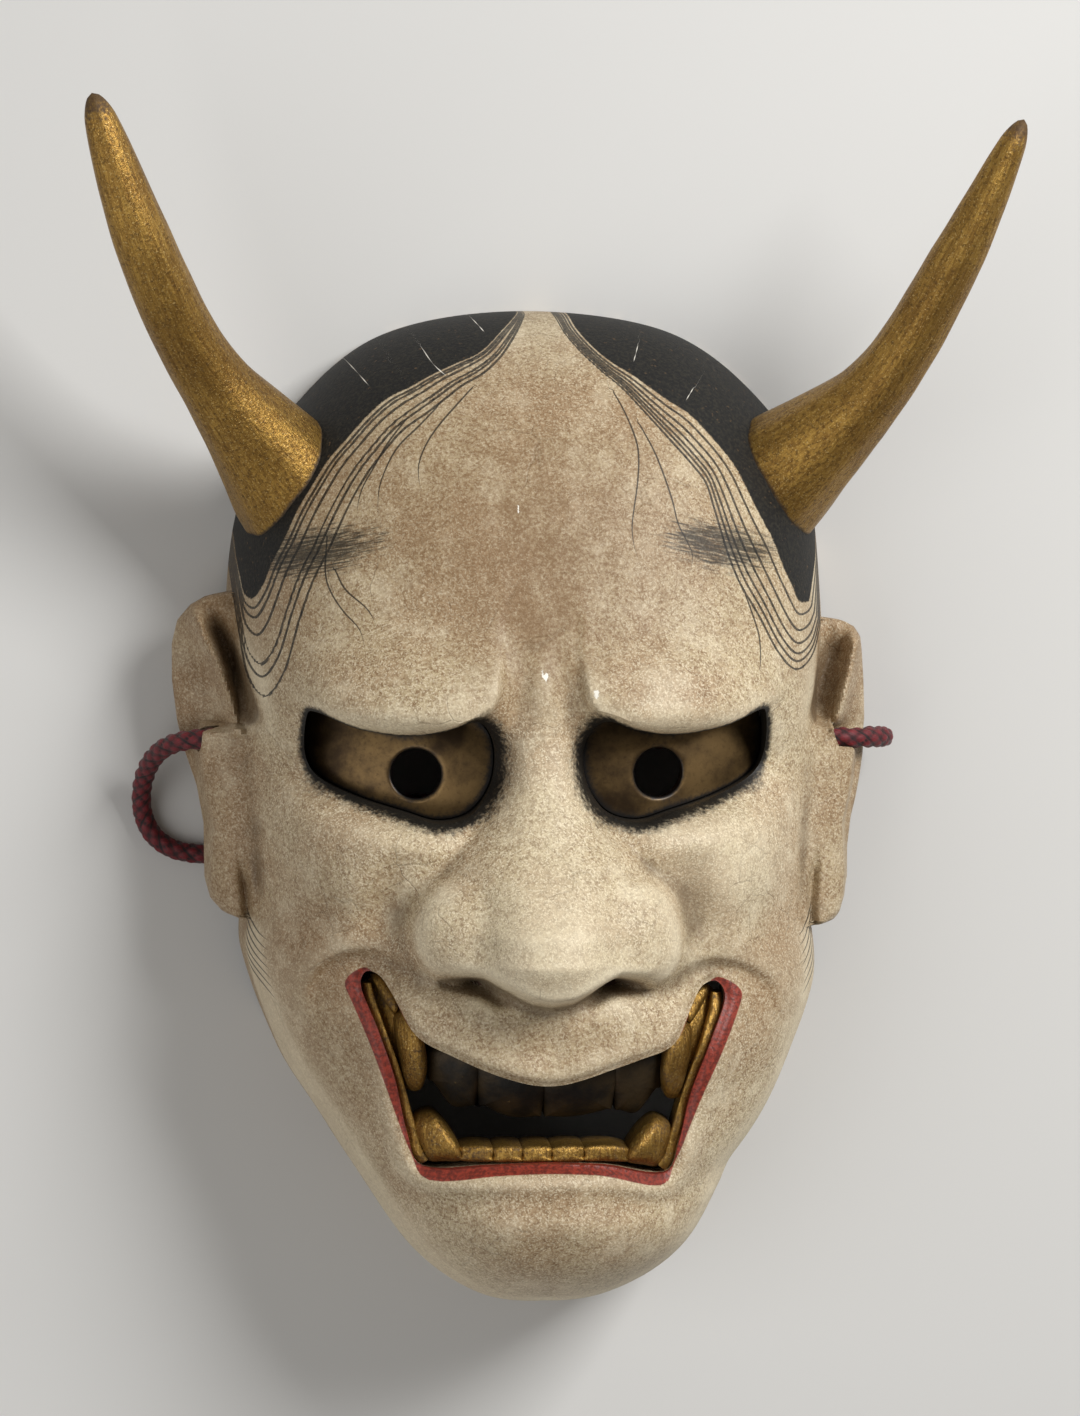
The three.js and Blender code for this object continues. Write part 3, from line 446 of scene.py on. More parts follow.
class Bench:
    """Turns points in the mask's millimetres into objects in the frame's metres."""

    def __init__(self) -> None:
        """Finds where the frame holds the mask, from the shell's box."""
        low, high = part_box("mask_shell")
        self.shift = np.array([(low.x + high.x) / 2, (low.y + high.y) / 2 + EYE_LINE_UP, 0.0])

    def place(self, points: Array) -> Array:
        """Millimetres of the mask to metres of the frame."""
        return np.asarray(points, float) / 1000 + self.shift

    def back(self, points: Array) -> Array:
        """Metres of the frame to millimetres of the mask."""
        return (np.asarray(points, float) - self.shift) * 1000

    def make(self, name: str, points: Array, faces: list) -> Piece:
        """One mesh object in the scene, from points in millimetres and rows of point numbers.

        Args:
            name: Its name.
            points: Points in millimetres.
            faces: Rows of point numbers.

        Returns:
            The object.
        """
        mesh = bpy.data.meshes.new(name)
        mesh.from_pydata(self.place(points).tolist(), [], [list(map(int, f)) for f in faces])
        mesh.validate()
        piece = bpy.data.objects.new(name, mesh)
        bpy.context.scene.collection.objects.link(piece)
        return piece

    def join(self, piece: Piece, tool: Piece, operation: str) -> None:
        """Cuts or adds a tool's shape, and removes the tool.

        Args:
            piece: The object that is changed.
            tool: The closed shape that is used up.
            operation: DIFFERENCE, UNION or INTERSECT.
        """
        cut = piece.modifiers.new("cut", "BOOLEAN")
        cut.object, cut.operation, cut.solver = tool, operation, "MANIFOLD"
        bpy.context.view_layer.update()
        result = bpy.data.meshes.new_from_object(piece.evaluated_get(bpy.context.evaluated_depsgraph_get()))
        piece.modifiers.clear()
        old, piece.data = piece.data, result
        result.name = piece.name
        bpy.data.meshes.remove(old)
        bpy.data.objects.remove(tool)

    @staticmethod
    def smooth(piece: Piece, degrees: float) -> None:
        """Shades a piece smooth, but for edges sharper than an angle."""
        piece.data.shade_smooth()
        piece.data.set_sharp_from_angle(angle=math.radians(degrees))

    def cut(self, piece: Piece, solid: Solid, operation: str = "DIFFERENCE") -> None:
        """Cuts a solid, given by its points and faces, out of a piece, or trims the piece by it."""
        self.join(piece, self.make("tool", *solid), operation)

    @staticmethod
    def read(rows: bpy.types.bpy_prop_collection, name: str) -> Array:
        """Three numbers of each point or face of a mesh."""
        flat = np.empty(len(rows) * 3, np.float32)
        rows.foreach_get(name, flat)
        return flat.reshape(-1, 3)

    def corners(self, piece: Piece) -> Array:
        """A piece's points in millimetres."""
        return self.back(self.read(piece.data.vertices, "co"))

    def lean(self, piece: Piece) -> None:
        """Sets a finished piece off by the unevenness of the lower face."""
        p = self.corners(piece)
        moved = self.place(p + leaned(p[:, 0], p[:, 1])).astype(np.float32)
        piece.data.vertices.foreach_set("co", moved.ravel())
        piece.data.update()

    @staticmethod
    def note(piece: Piece, name: str, values: Array) -> None:
        """Keeps a value for each point of a piece, for its finish to read."""
        kind = "FLOAT" if np.ndim(values) == 1 else "FLOAT_VECTOR"
        layer = piece.data.attributes.new(name, kind, "POINT")
        slot = "value" if kind == "FLOAT" else "vector"
        layer.data.foreach_set(slot, np.asarray(values, np.float32).ravel())


def leaned(x: Array, y: Array) -> Array:
    """How far the carver's hand set the lower face off from even, the jaw fuller and lower on the right.

    Args:
        x: Places across.
        y: Places along.

    Returns:
        Moves across, along and up, one row for each place.
    """
    start = 30 - 22 * ease((-y - 82) / 12)
    across = (ease((-y - 30) / 30) + 1.8 * ease((-y - 80) / 30)
              + (3.4 - 1.5 * ease((-y - 66) / 22)) * ease((x - start) / 18) * ease((-y - 28) / 22)
              - 1.7 * ease((-x - 36) / 16) * (ease((-y - 30) / 12) - ease((-y - 62) / 16)))
    down = 2.6 * ease((x - 10) / 24) * ease((-y - 24) / 16)
    down = down * (1 - ease((x - 42) / 12)) * (1 - ease((-y - 90) / 20))
    return np.stack([across, -down - 0.8 * ease((-y - 62) / 16), np.zeros_like(x)], -1)


def cells(rows: int, columns: int, first: int = 0, up: bool = True) -> list:
    """Quads of a grid of points, facing up or down."""
    index = first + np.arange(rows * columns).reshape(rows, columns)
    quads = np.stack([index[:-1, :-1], index[:-1, 1:], index[1:, 1:], index[1:, :-1]], -1).reshape(-1, 4)
    return (quads if up else quads[:, ::-1]).tolist()


def border(rows: int, columns: int, first: int = 0) -> Array:
    """Point numbers round a grid, counter-clockwise."""
    index = first + np.arange(rows * columns).reshape(rows, columns)
    return np.concatenate([index[0, :-1], index[:-1, -1], index[-1, :0:-1], index[:0:-1, 0]])


def between(top: Array, bottom: Array) -> Solid:
    """Closed solid between two sheets of points; the bottom one may have fewer cells by a whole number.

    Args:
        top: Points of shape (rows, columns, 3), counter-clockwise seen from the front.
        bottom: The same behind it.

    Returns:
        Points and faces.
    """
    (rows, columns), (low_rows, low_columns) = top.shape[:2], bottom.shape[:2]
    under = rows * columns
    faces = cells(rows, columns) + cells(low_rows, low_columns, under, up=False)
    fine, coarse = border(rows, columns), border(low_rows, low_columns, under)
    ratio = len(fine) // len(coarse)
    for i, b in enumerate(coarse):
        after = coarse[(i + 1) % len(coarse)]
        run = [fine[(ratio * i + k) % len(fine)] for k in range(ratio + 1)]
        faces += [[run[k], b, run[k + 1]] for k in range(ratio)]
        faces.append([run[-1], b, after])
    return np.vstack([top.reshape(-1, 3), bottom.reshape(-1, 3)]), faces


def bands(count: int, sides: int, up: bool = True, closed: bool = False) -> list:
    """Quads between rings of points.

    Args:
        count: How many rings there are.
        sides: Points in each ring.
        up: Whether they face up where the rings rise counter-clockwise.
        closed: Whether the last ring joins the first.

    Returns:
        Rows of point numbers.
    """
    quads = []
    for i in range(count if closed else count - 1):
        low, high = i * sides, (i + 1) % count * sides
        for k in range(sides):
            after = (k + 1) % sides
            quad = [low + k, low + after, high + after, high + k]
            quads.append(quad if up else quad[:1] + quad[:0:-1])
    return quads


def fan(tip: int, sides: int, first: int = 0, up: bool = True) -> list:
    """Triangles from one point to a ring of points."""
    pairs = [(first + k, first + (k + 1) % sides) for k in range(sides)]
    return [[tip, a, b] if up else [tip, b, a] for a, b in pairs]


def flat_at(sheet: Array, height: float) -> Array:
    """A copy of a sheet of points, flat at a height."""
    flat = sheet.copy()
    flat[..., 2] = height
    return flat


def area(outline: Array) -> float:
    """Twice the area in a closed outline, positive where it runs counter-clockwise."""
    after = np.roll(outline, -1, 0)
    return float(np.sum(outline[:, 0] * after[:, 1] - after[:, 0] * outline[:, 1]))


def prism(outline: Array, low: float, high: float) -> Solid:
    """A closed outline carried straight from one height to another."""
    n = len(outline)
    ring = outline if area(outline) > 0 else outline[::-1]
    points = np.vstack([np.c_[ring, np.full(n, low)], np.c_[ring, np.full(n, high)]])
    return points, bands(2, n) + [list(range(n))[::-1], list(range(n, 2 * n))]


def grown(outline: Array, by: float) -> Array:
    """A closed outline moved outward."""
    along = unit(np.roll(outline, -1, 0) - np.roll(outline, 1, 0))
    return outline + np.sign(area(outline)) * by * np.c_[along[:, 1], -along[:, 0]]


def rings(path: Array, section: Callable[[int, Array], Array], sides: int) -> Solid:
    """A tube along a path, closed at both ends.

    Args:
        path: Points of the centreline.
        section: Radii round ring i, from its angles.
        sides: Points round a ring.

    Returns:
        Points and faces.
    """
    along = unit(np.gradient(path, axis=0))
    normal = np.cross(along[0], [0.0, 0.0, 1.0])
    if np.linalg.norm(normal) < 1e-3:
        normal = np.cross(along[0], [0.0, 1.0, 0.0])
    angles = np.arange(sides) * FULL_TURN / sides
    points = []
    for i, (centre, t) in enumerate(zip(path, along)):
        normal = normal - t * (normal @ t)
        normal /= np.linalg.norm(normal)
        across = np.cross(t, normal)
        radius = section(i, angles)[:, None]
        points.append(centre + radius * (np.cos(angles)[:, None] * normal + np.sin(angles)[:, None] * across))
    count = len(path)
    ends = fan(count * sides, sides, up=False) + fan(count * sides + 1, sides, (count - 1) * sides)
    return np.vstack([*points, path[:1], path[-1:]]), bands(count, sides) + ends


def disc(outline: Array, centre: Sequence[float], front: Height, back: float, radius: float, rise: float,
         count: int = 10) -> Solid:
    """A small solid over an outline that its centre sees all of, rounded at its front edge.

    Args:
        outline: Closed outline.
        centre: Place of its middle.
        front: Height of the front at x and y.
        back: Height of its flat back.
        radius: Radius of the rounded edge.
        rise: How much the middle swells.
        count: Rings of points from the middle to the edge.

    Returns:
        Points and faces.
    """
    ring = (outline if area(outline) > 0 else outline[::-1]) - np.array(centre)
    n = len(ring)
    reach = np.linalg.norm(ring, axis=1)
    layers = []
    for share in np.sin(np.linspace(0, np.pi / 2, count + 1))[1:]:
        flat = np.array(centre) + ring * share
        lip = np.clip(1 - (1 - share) * reach / radius, 0, 1)
        height = front(flat[:, 0], flat[:, 1]) - radius * (1 - np.sqrt(1 - lip ** 2))
        layers.append(np.c_[flat, height + rise * (1 - share ** 2)])
    layers.append(np.c_[np.array(centre) + ring, np.full(n, back)])
    middle = np.array([[*centre, float(front(np.array([centre[0]]), np.array([centre[1]]))[0]) + rise]])
    points = np.vstack([*layers, middle, [[*centre, back]]])
    ends = fan(len(points) - 2, n) + fan(len(points) - 1, n, count * n, up=False)
    return points, ends + bands(count + 1, n, up=False)


def gathered(parts: list[Solid]) -> Solid:
    """Several solids as the points and faces of one mesh."""
    points, faces, first = [], [], 0
    for p, f in parts:
        points.append(p)
        faces += [[i + first for i in face] for face in f]
        first += len(p)
    return np.vstack(points), faces


# Finishes


class Tree:
    """Short names for building one node tree."""

    def __init__(self, tree: bpy.types.NodeTree) -> None:
        """Keeps the tree that is built."""
        self.tree = tree

    def feed(self, socket: Socket, value: object) -> None:
        """Links a socket to another, or sets its value."""
        if isinstance(value, Socket):
            self.tree.links.new(value, socket)
        else:
            socket.default_value = value

    def fill(self, node: Node, inputs: dict) -> Node:
        """Feeds several inputs of a node, by name or number."""
        for name, value in inputs.items():
            self.feed(node.inputs[name], value)
        return node

    def node(self, kind: str, inputs: dict | None = None, **settings: object) -> Node:
        """Adds a node.

        Args:
            kind: Its type.
            inputs: Values or sockets for its inputs, by name or number.
            settings: Its own settings.

        Returns:
            The node.
        """
        made = self.tree.nodes.new(kind)
        for name, value in settings.items():
            setattr(made, name, value)
        return self.fill(made, inputs or {})

    def maths(self, operation: str, *values: object) -> Socket:
        """Result of a sum on values or sockets."""
        return self.node("ShaderNodeMath", dict(enumerate(values)), operation=operation).outputs[0]

    def times(self, a: object, b: object) -> Socket:
        """Two numbers multiplied."""
        return self.maths("MULTIPLY", a, b)

    def ragged(self, value: object, noise: Socket, amount: float) -> Socket:
        """A value with noise about 0.5 added to it by an amount."""
        return self.maths("ADD", value, self.times(self.maths("SUBTRACT", noise, 0.5), amount))

    def reach(self, value: object, low: float, high: float) -> Socket:
        """A value's share of the way from low to high, from 0 to 1."""
        inputs = {"Value": value, "From Min": low, "From Max": high}
        return self.node("ShaderNodeMapRange", inputs, interpolation_type="SMOOTHSTEP").outputs["Result"]

    def mix(self, share: object, a: object, b: object) -> Socket:
        """Two colours mixed by a share."""
        return self.node("ShaderNodeMix", {0: share, 6: a, 7: b}, data_type="RGBA").outputs[2]

    def blend(self, share: object, a: object, b: object) -> Socket:
        """Two numbers mixed by a share."""
        return self.node("ShaderNodeMix", {0: share, 2: a, 3: b}, data_type="FLOAT").outputs[0]

    def layered(self, colour: object, layers: Sequence[tuple]) -> Socket:
        """A colour with others laid over it in turn, each given as its mask, its strength and itself."""
        for mask, strength, over in layers:
            colour = self.mix(self.times(mask, strength), colour, over)
        return colour

    def noise(self, vector: object, scale: object, detail: float = 4.0, rough: float = 0.55) -> Socket:
        """Soft noise about 0.5."""
        inputs = {"Vector": vector, "Scale": scale, "Detail": detail, "Roughness": rough}
        return self.node("ShaderNodeTexNoise", inputs).outputs[0]

    def note(self, name: str, output: str = "Fac") -> Socket:
        """A value kept on the mesh."""
        return self.node("ShaderNodeAttribute", attribute_name=name,
                         attribute_type="GEOMETRY").outputs[output]

    def turned(self, vector: object, degrees: float) -> Socket:
        """A vector turned about z."""
        inputs = {"Vector": vector, "Rotation": (0, 0, math.radians(degrees))}
        return self.node("ShaderNodeMapping", inputs).outputs[0]

    def use(self, group: bpy.types.NodeTree, **inputs: object) -> bpy.types.NodeOutputs:
        """Places a shared effect with this material's own values, and gives what it puts out."""
        return self.node("ShaderNodeGroup", inputs, node_tree=group).outputs


def new_group(name: str, inputs: dict[str, float | tuple], outputs: Sequence[str]) -> tuple:
    """An empty shared effect.

    Args:
        name: Its name.
        inputs: Its inputs with what they are unless set; a tuple is a vector.
        outputs: Its outputs, all plain values.

    Returns:
        The group, its tree, the sockets it is given and those it gives out.
    """
    group = bpy.data.node_groups.new(name, "ShaderNodeTree")
    for label, value in inputs.items():
        kind = "NodeSocketVector" if isinstance(value, tuple) else "NodeSocketFloat"
        group.interface.new_socket(label, in_out="INPUT", socket_type=kind).default_value = value
    for label in outputs:
        group.interface.new_socket(label, in_out="OUTPUT", socket_type="NodeSocketFloat")
    tree = Tree(group)
    return group, tree, tree.node("NodeGroupInput").outputs, tree.node("NodeGroupOutput").inputs


class Effects:
    """Effects that several finishes share, each built once."""

    def __init__(self) -> None:
        """Builds them all."""
        self.mottle = self.build_mottle()
        self.soil_and_shade = self.build_soil_and_shade()
        self.cracks = self.build_cracks()
        self.streaks = self.build_streaks()

    @staticmethod
    def build_mottle() -> bpy.types.NodeTree:
        """Cloudy and speckled unevenness of an old surface."""
        group, t, inn, out = new_group("mottled surface",
                                       {"Vector": (0, 0, 0), "Cloud": 40.0, "Speck": 900.0},
                                       ["Clouds", "Specks", "Grain"])
        t.feed(out["Clouds"], t.noise(inn["Vector"], inn["Cloud"], 5.0, 0.6))
        t.feed(out["Specks"], t.noise(inn["Vector"], inn["Speck"], 4.0, 0.65))
        fine = t.times(inn["Speck"], 1.9)
        t.feed(out["Grain"], t.noise(inn["Vector"], fine, 2.0, 0.6))
        return group

    @staticmethod
    def build_soil_and_shade() -> bpy.types.NodeTree:
        """Soiling and painted shade that gather in recesses, with a broken edge."""
        group, t, inn, out = new_group("grime in recesses",
                                       {"Vector": (0, 0, 0), "Recess": 0.0, "Amount": 1.0, "Scale": 150.0},
                                       ["Mask"])
        patches = t.noise(inn["Vector"], inn["Scale"], 5.0, 0.7)
        held = t.ragged(t.times(inn["Recess"], inn["Amount"]), patches, 0.9)
        t.feed(out["Mask"], t.reach(held, 0.12, 0.85))
        return group

    @staticmethod
    def build_cracks() -> bpy.types.NodeTree:
        """A net of hair cracks, broken off here and there."""
        group, t, inn, out = new_group("hair cracks", {"Vector": (0, 0, 0), "Scale": 90.0, "Width": 0.03},
                                       ["Mask"])
        bent = t.node("ShaderNodeVectorMath", {0: inn["Vector"]}, operation="ADD")
        wander = t.node("ShaderNodeTexNoise", {"Vector": inn["Vector"], "Scale": 120.0})
        offset = t.node("ShaderNodeVectorMath", {0: wander.outputs["Color"], "Scale": 0.006},
                        operation="SCALE")
        t.feed(bent.inputs[1], offset.outputs[0])
        net = t.node("ShaderNodeTexVoronoi", {"Vector": bent.outputs[0], "Scale": inn["Scale"]},
                     feature="DISTANCE_TO_EDGE")
        ratio = t.maths("DIVIDE", net.outputs["Distance"], inn["Width"])
        line = t.maths("SUBTRACT", 1.0, t.reach(ratio, 0.0, 1.0))
        here = t.reach(t.noise(inn["Vector"], 55.0, 3.0), 0.5, 0.62)
        t.feed(out["Mask"], t.times(line, here))
        return group

    @staticmethod
    def build_streaks() -> bpy.types.NodeTree:
        """Fine lines that run along a vector's first axis."""
        group, t, inn, out = new_group("fine streaks", {"Vector": (0, 0, 0), "Fineness": 1.0, "Length": 0.05},
                                       ["Streaks", "Scratches"])
        size = t.node("ShaderNodeCombineXYZ", {0: inn["Length"], 1: 1.0, 2: 1.0}).outputs[0]
        drawn = t.node("ShaderNodeVectorMath", {0: inn["Vector"], 1: size},
                       operation="MULTIPLY").outputs[0]
        t.feed(out["Streaks"], t.noise(drawn, inn["Fineness"], 6.0, 0.65))
        sharp = t.noise(drawn, t.times(inn["Fineness"], 3.0), 2.0, 0.5)
        t.feed(out["Scratches"], t.reach(sharp, 0.62, 0.72))
        return group


def rgb(red: int, green: int, blue: int) -> tuple[float, float, float, float]:
    """A screen colour of 0 to 255 as the linear colour that shaders take."""
    linear = [((c / 255 + 0.055) / 1.055) ** 2.4 if c > 10 else c / 255 / 12.92 for c in (red, green, blue)]
    return (*linear, 1.0)


def blank_material(name: str, **plain: float) -> tuple[Material, Tree, Node, Socket]:
    """A new material with plain values on its shader.

    Args:
        name: Its name.
        plain: Values of the shader's inputs, with _ for a space.

    Returns:
        The material, its tree, its shader and the object's own coordinates.
    """
    material = bpy.data.materials.new(name)
    material.use_nodes = True
    tree = Tree(material.node_tree)
    shader = material.node_tree.nodes["Principled BSDF"]
    for label, value in plain.items():
        shader.inputs[label.replace("_", " ")].default_value = value
    where = tree.node("ShaderNodeTexCoord").outputs["Object"]
    return material, tree, shader, where


def finish(t: Tree, shader: Node, colour: Socket, rough: Socket, height: Socket, strength: float,
           distance: float) -> None:
    """Gives a shader its colour, its roughness and fine relief from a height."""
    relief = t.node("ShaderNodeBump", {"Height": height, "Strength": strength, "Distance": distance})
    t.fill(shader, {"Base Color": colour, "Roughness": rough, "Normal": relief.outputs["Normal"]})


@dataclass(frozen=True)
class PaintedFace:
    """Aged white ground on the face, with ink hair, black eye rims and a red lip, and with painted shade and
    painted highlights.
    """

    bone: tuple = rgb(199, 182, 147)
    pale: tuple = rgb(236, 223, 193)
    # Darker tone of specks and streaks, also laid on as painted shade.
    stain_and_shade_tone: tuple = rgb(127, 99, 67)
    rosy: tuple = rgb(178, 152, 119)
    soil_and_shade_brown: tuple = rgb(90, 71, 49)
    ink: tuple = rgb(11, 10, 9)
    worn_ink: tuple = rgb(38, 35, 27)
    red: tuple = rgb(150, 60, 45)
    dark_red: tuple = rgb(98, 42, 34)
    chip_and_glint: tuple = rgb(240, 235, 222)

    def build(self, fx: Effects) -> Material:
        """Makes the material.

        Args:
            fx: The shared effects.

        Returns:
            The material.
        """
        material, t, shader, where = blank_material("aged painted ground", Specular_IOR_Level=0.36)
        mottle = t.use(fx.mottle, Vector=where, Cloud=34.0, Speck=1250.0)
        stains = t.use(fx.mottle, Vector=where, Cloud=120.0, Speck=420.0)
        scuffs = t.use(fx.streaks, Vector=t.turned(where, 62), Fineness=900.0, Length=0.16)
        rubs = t.use(fx.streaks, Vector=t.turned(where, -24), Fineness=700.0, Length=0.14)
        soil_and_shade = t.use(fx.soil_and_shade, Vector=where, Recess=t.note("recess"), Amount=1.0, Scale=130.0)[0]
        cracks = t.use(fx.cracks, Vector=where, Scale=95.0, Width=0.028)[0]
        # Painted shade, broken up by specks and clouds.
        painted_shade = t.times(t.note("painted_shade"), t.blend(t.reach(mottle["Specks"], 0.26, 0.6), 0.6, 1.0))
        painted_shade = t.times(painted_shade, t.blend(t.reach(stains["Clouds"], 0.36, 0.64), 1.0, 0.75))
        skin = t.layered(t.mix(t.reach(mottle["Clouds"], 0.38, 0.62), self.bone, self.rosy), [
            (t.reach(mottle["Specks"], 0.44, 0.64), 0.85, self.stain_and_shade_tone),
            (t.reach(scuffs["Streaks"], 0.5, 0.68), 0.65, self.stain_and_shade_tone),
            (t.reach(mottle["Grain"], 0.5, 0.64), 0.8, self.pale),
            (scuffs["Scratches"], 0.75, self.pale),
            (rubs["Scratches"], 0.5, self.pale),
            (t.reach(stains["Specks"], 0.5, 0.7), 0.42, self.stain_and_shade_tone),
            (t.reach(stains["Clouds"], 0.5, 0.68), 0.34, self.pale),
            (t.reach(stains["Grain"], 0.54, 0.7), 0.4, self.rosy),
            (painted_shade, 0.78, self.stain_and_shade_tone),
            # Paler on worn raised edges, and a painted highlight on the nose and the right cheek.
            (t.note("lightened"), 0.45, self.pale),
            # Soiling and painted shade in recesses, on the steep sides and in the ears' channels.
            (soil_and_shade, 0.7, self.soil_and_shade_brown),
            (cracks, 0.22, self.soil_and_shade_brown)])

        ink = t.mix(t.reach(mottle["Specks"], 0.4, 0.68), self.ink, self.worn_ink)
        ink = t.layered(ink, [(t.reach(stains["Grain"], 0.66, 0.74), 0.35, self.stain_and_shade_tone)])
        mass = t.reach(t.ragged(t.note("hair"), mottle["Grain"], 0.5), -0.1, 0.15)
        strands = t.times(self.strands(t), t.blend(t.reach(mottle["Specks"], 0.3, 0.6), 1.0, 0.8))
        hairs = t.use(fx.streaks, Vector=t.note("brush", "Vector"), Fineness=2.7, Length=0.09)["Streaks"]
        brow = t.reach(t.ragged(t.note("brow"), hairs, 3.0), 0.15, 1.05)
        brow = t.times(brow, t.reach(t.note("brow"), 0.02, 0.4))
        lip = t.reach(t.ragged(t.note("lip"), mottle["Grain"], 0.3), -0.12, 0.12)
        fray = t.noise(where, 900.0, 3.0, 0.7)
        eye_ink_and_mouth_shade = t.reach(t.ragged(t.note("eye_ink_and_mouth_shade"), fray, 1.3), -0.05, 0.75)
        chips_glints_and_cracks = t.reach(t.ragged(t.note("chip_and_glint"), fray, 0.7), 0.5, 0.62)
        chips_glints_and_cracks = t.maths("MAXIMUM", chips_glints_and_cracks, self.line(t, "crackle"))
        skin = t.layered(skin, [
            (brow, 0.86, ink),
            (self.line(t, "loose"), 0.85, ink),
            (strands, 1.0, ink),
            (mass, 1.0, ink),
            (lip, 1.0, t.mix(t.reach(mottle["Specks"], 0.35, 0.65), self.red, self.dark_red)),
            # Black ink round the eyes, and black as painted shade on the mouth's walls.
            (eye_ink_and_mouth_shade, 0.98, self.ink),
            # White chips and cracks, and painted glints on the frown ridges.
            (chips_glints_and_cracks, 1.0, self.chip_and_glint)])
        rough = t.blend(mass, t.blend(mottle["Specks"], 0.42, 0.66), 0.68)
        relief = t.maths("ADD", t.times(mottle["Specks"], 0.7), t.times(mottle["Grain"], 0.3))
        relief = t.maths("SUBTRACT", relief, t.times(cracks, 0.5))
        relief = t.maths("SUBTRACT", relief, t.times(chips_glints_and_cracks, 0.4))
        finish(t, shader, skin, t.blend(lip, rough, 0.42), relief, 0.5, 0.00035)
        return material

    @staticmethod
    def strands(t: Tree) -> Socket:
        """Fine strands drawn where the count of combed hair passes whole numbers."""
        comb = t.note("comb")
        away = t.maths("ABSOLUTE", t.maths("SUBTRACT", comb, t.maths("ROUND", comb)))
        line = t.reach(t.maths("SUBTRACT", 0.25, t.times(away, t.note("comb_gap"))), -0.05, 0.06)
        return t.times(line, t.times(t.maths("GREATER_THAN", comb, 0.5), t.maths("LESS_THAN", comb, 6.45)))

    @staticmethod
    def line(t: Tree, name: str) -> Socket:
        """A drawn line from its signed distance and half width, both in millimetres."""
        spare = t.maths("SUBTRACT", t.note(f"{name}_width"), t.maths("ABSOLUTE", t.note(name)))
        return t.reach(spare, -0.05, 0.06)


@dataclass(frozen=True)
class HollowWood:
    """Bare carved wood behind the face, stained dark by lacquer and wear."""

    wood: tuple = rgb(104, 70, 44)
    stain: tuple = rgb(52, 33, 22)
    lightened: tuple = rgb(140, 102, 68)

    def build(self, fx: Effects) -> Material:
        """Makes the material from the shared effects.

        Args:
            fx: The shared effects.

        Returns:
            The material.
        """
        material, t, shader, where = blank_material("stained hollow wood")
        grain = t.use(fx.streaks, Vector=t.turned(where, 90), Fineness=420.0, Length=0.05)
        mottle = t.use(fx.mottle, Vector=where, Cloud=45.0, Speck=300.0)
        wood = t.layered(t.mix(t.reach(grain["Streaks"], 0.35, 0.65), self.wood, self.stain), [
            (t.reach(mottle["Clouds"], 0.42, 0.66), 0.8, self.stain),
            (t.reach(mottle["Specks"], 0.6, 0.75), 0.5, self.lightened)])
        relief = t.maths("ADD", grain["Streaks"], t.times(mottle["Clouds"], 2.0))
        finish(t, shader, wood, t.blend(mottle["Specks"], 0.45, 0.75), relief, 0.5, 0.0005)
        return material


@dataclass(frozen=True)
class WornGilt:
    """Gilding over a dark ground, worn through, and darker in its lows with soiling and painted shade."""

    gold: tuple = rgb(184, 146, 72)
    bright: tuple = rgb(226, 196, 130)
    deep: tuple = rgb(118, 85, 38)
    ground: tuple = rgb(74, 52, 28)
    soil_and_shade_brown: tuple = rgb(40, 28, 18)

    def build(self, fx: Effects) -> Material:
        """Makes the material from the shared effects.

        Args:
            fx: The shared effects.

        Returns:
            The material.
        """
        material, t, shader, where = blank_material("worn gilding")
        lines = t.use(fx.streaks, Vector=t.note("along", "Vector"), Fineness=1.7, Length=0.09)
        mottle = t.use(fx.mottle, Vector=where, Cloud=48.0, Speck=1300.0)
        soil_and_shade = t.use(fx.soil_and_shade, Vector=where, Recess=t.note("recess"), Amount=1.0, Scale=300.0)[0]
        bare = t.reach(t.ragged(t.note("bare"), mottle["Specks"], 1.6), 0.25, 0.85)
        gold = t.layered(t.mix(t.reach(lines["Streaks"], 0.24, 0.76), self.deep, self.gold), [
            (t.reach(mottle["Clouds"], 0.38, 0.68), 0.5, self.deep),
            (t.reach(mottle["Specks"], 0.5, 0.66), 0.6, self.ground),
            (t.reach(mottle["Grain"], 0.58, 0.7), 0.5, self.bright),
            (bare, 0.85, self.ground),
            (soil_and_shade, 0.85, self.soil_and_shade_brown)])
        dull = t.maths("MAXIMUM", bare, soil_and_shade)
        t.feed(shader.inputs["Metallic"], t.blend(dull, 0.82, 0.15))
        rough = t.blend(dull, t.blend(mottle["Specks"], 0.3, 0.52), 0.62)
        relief = t.maths("ADD", lines["Streaks"], t.times(mottle["Specks"], 0.7))
        relief = t.maths("ADD", relief, t.times(lines["Scratches"], 0.3))
        finish(t, shader, gold, rough, relief, 0.55, 0.0004)
        return material


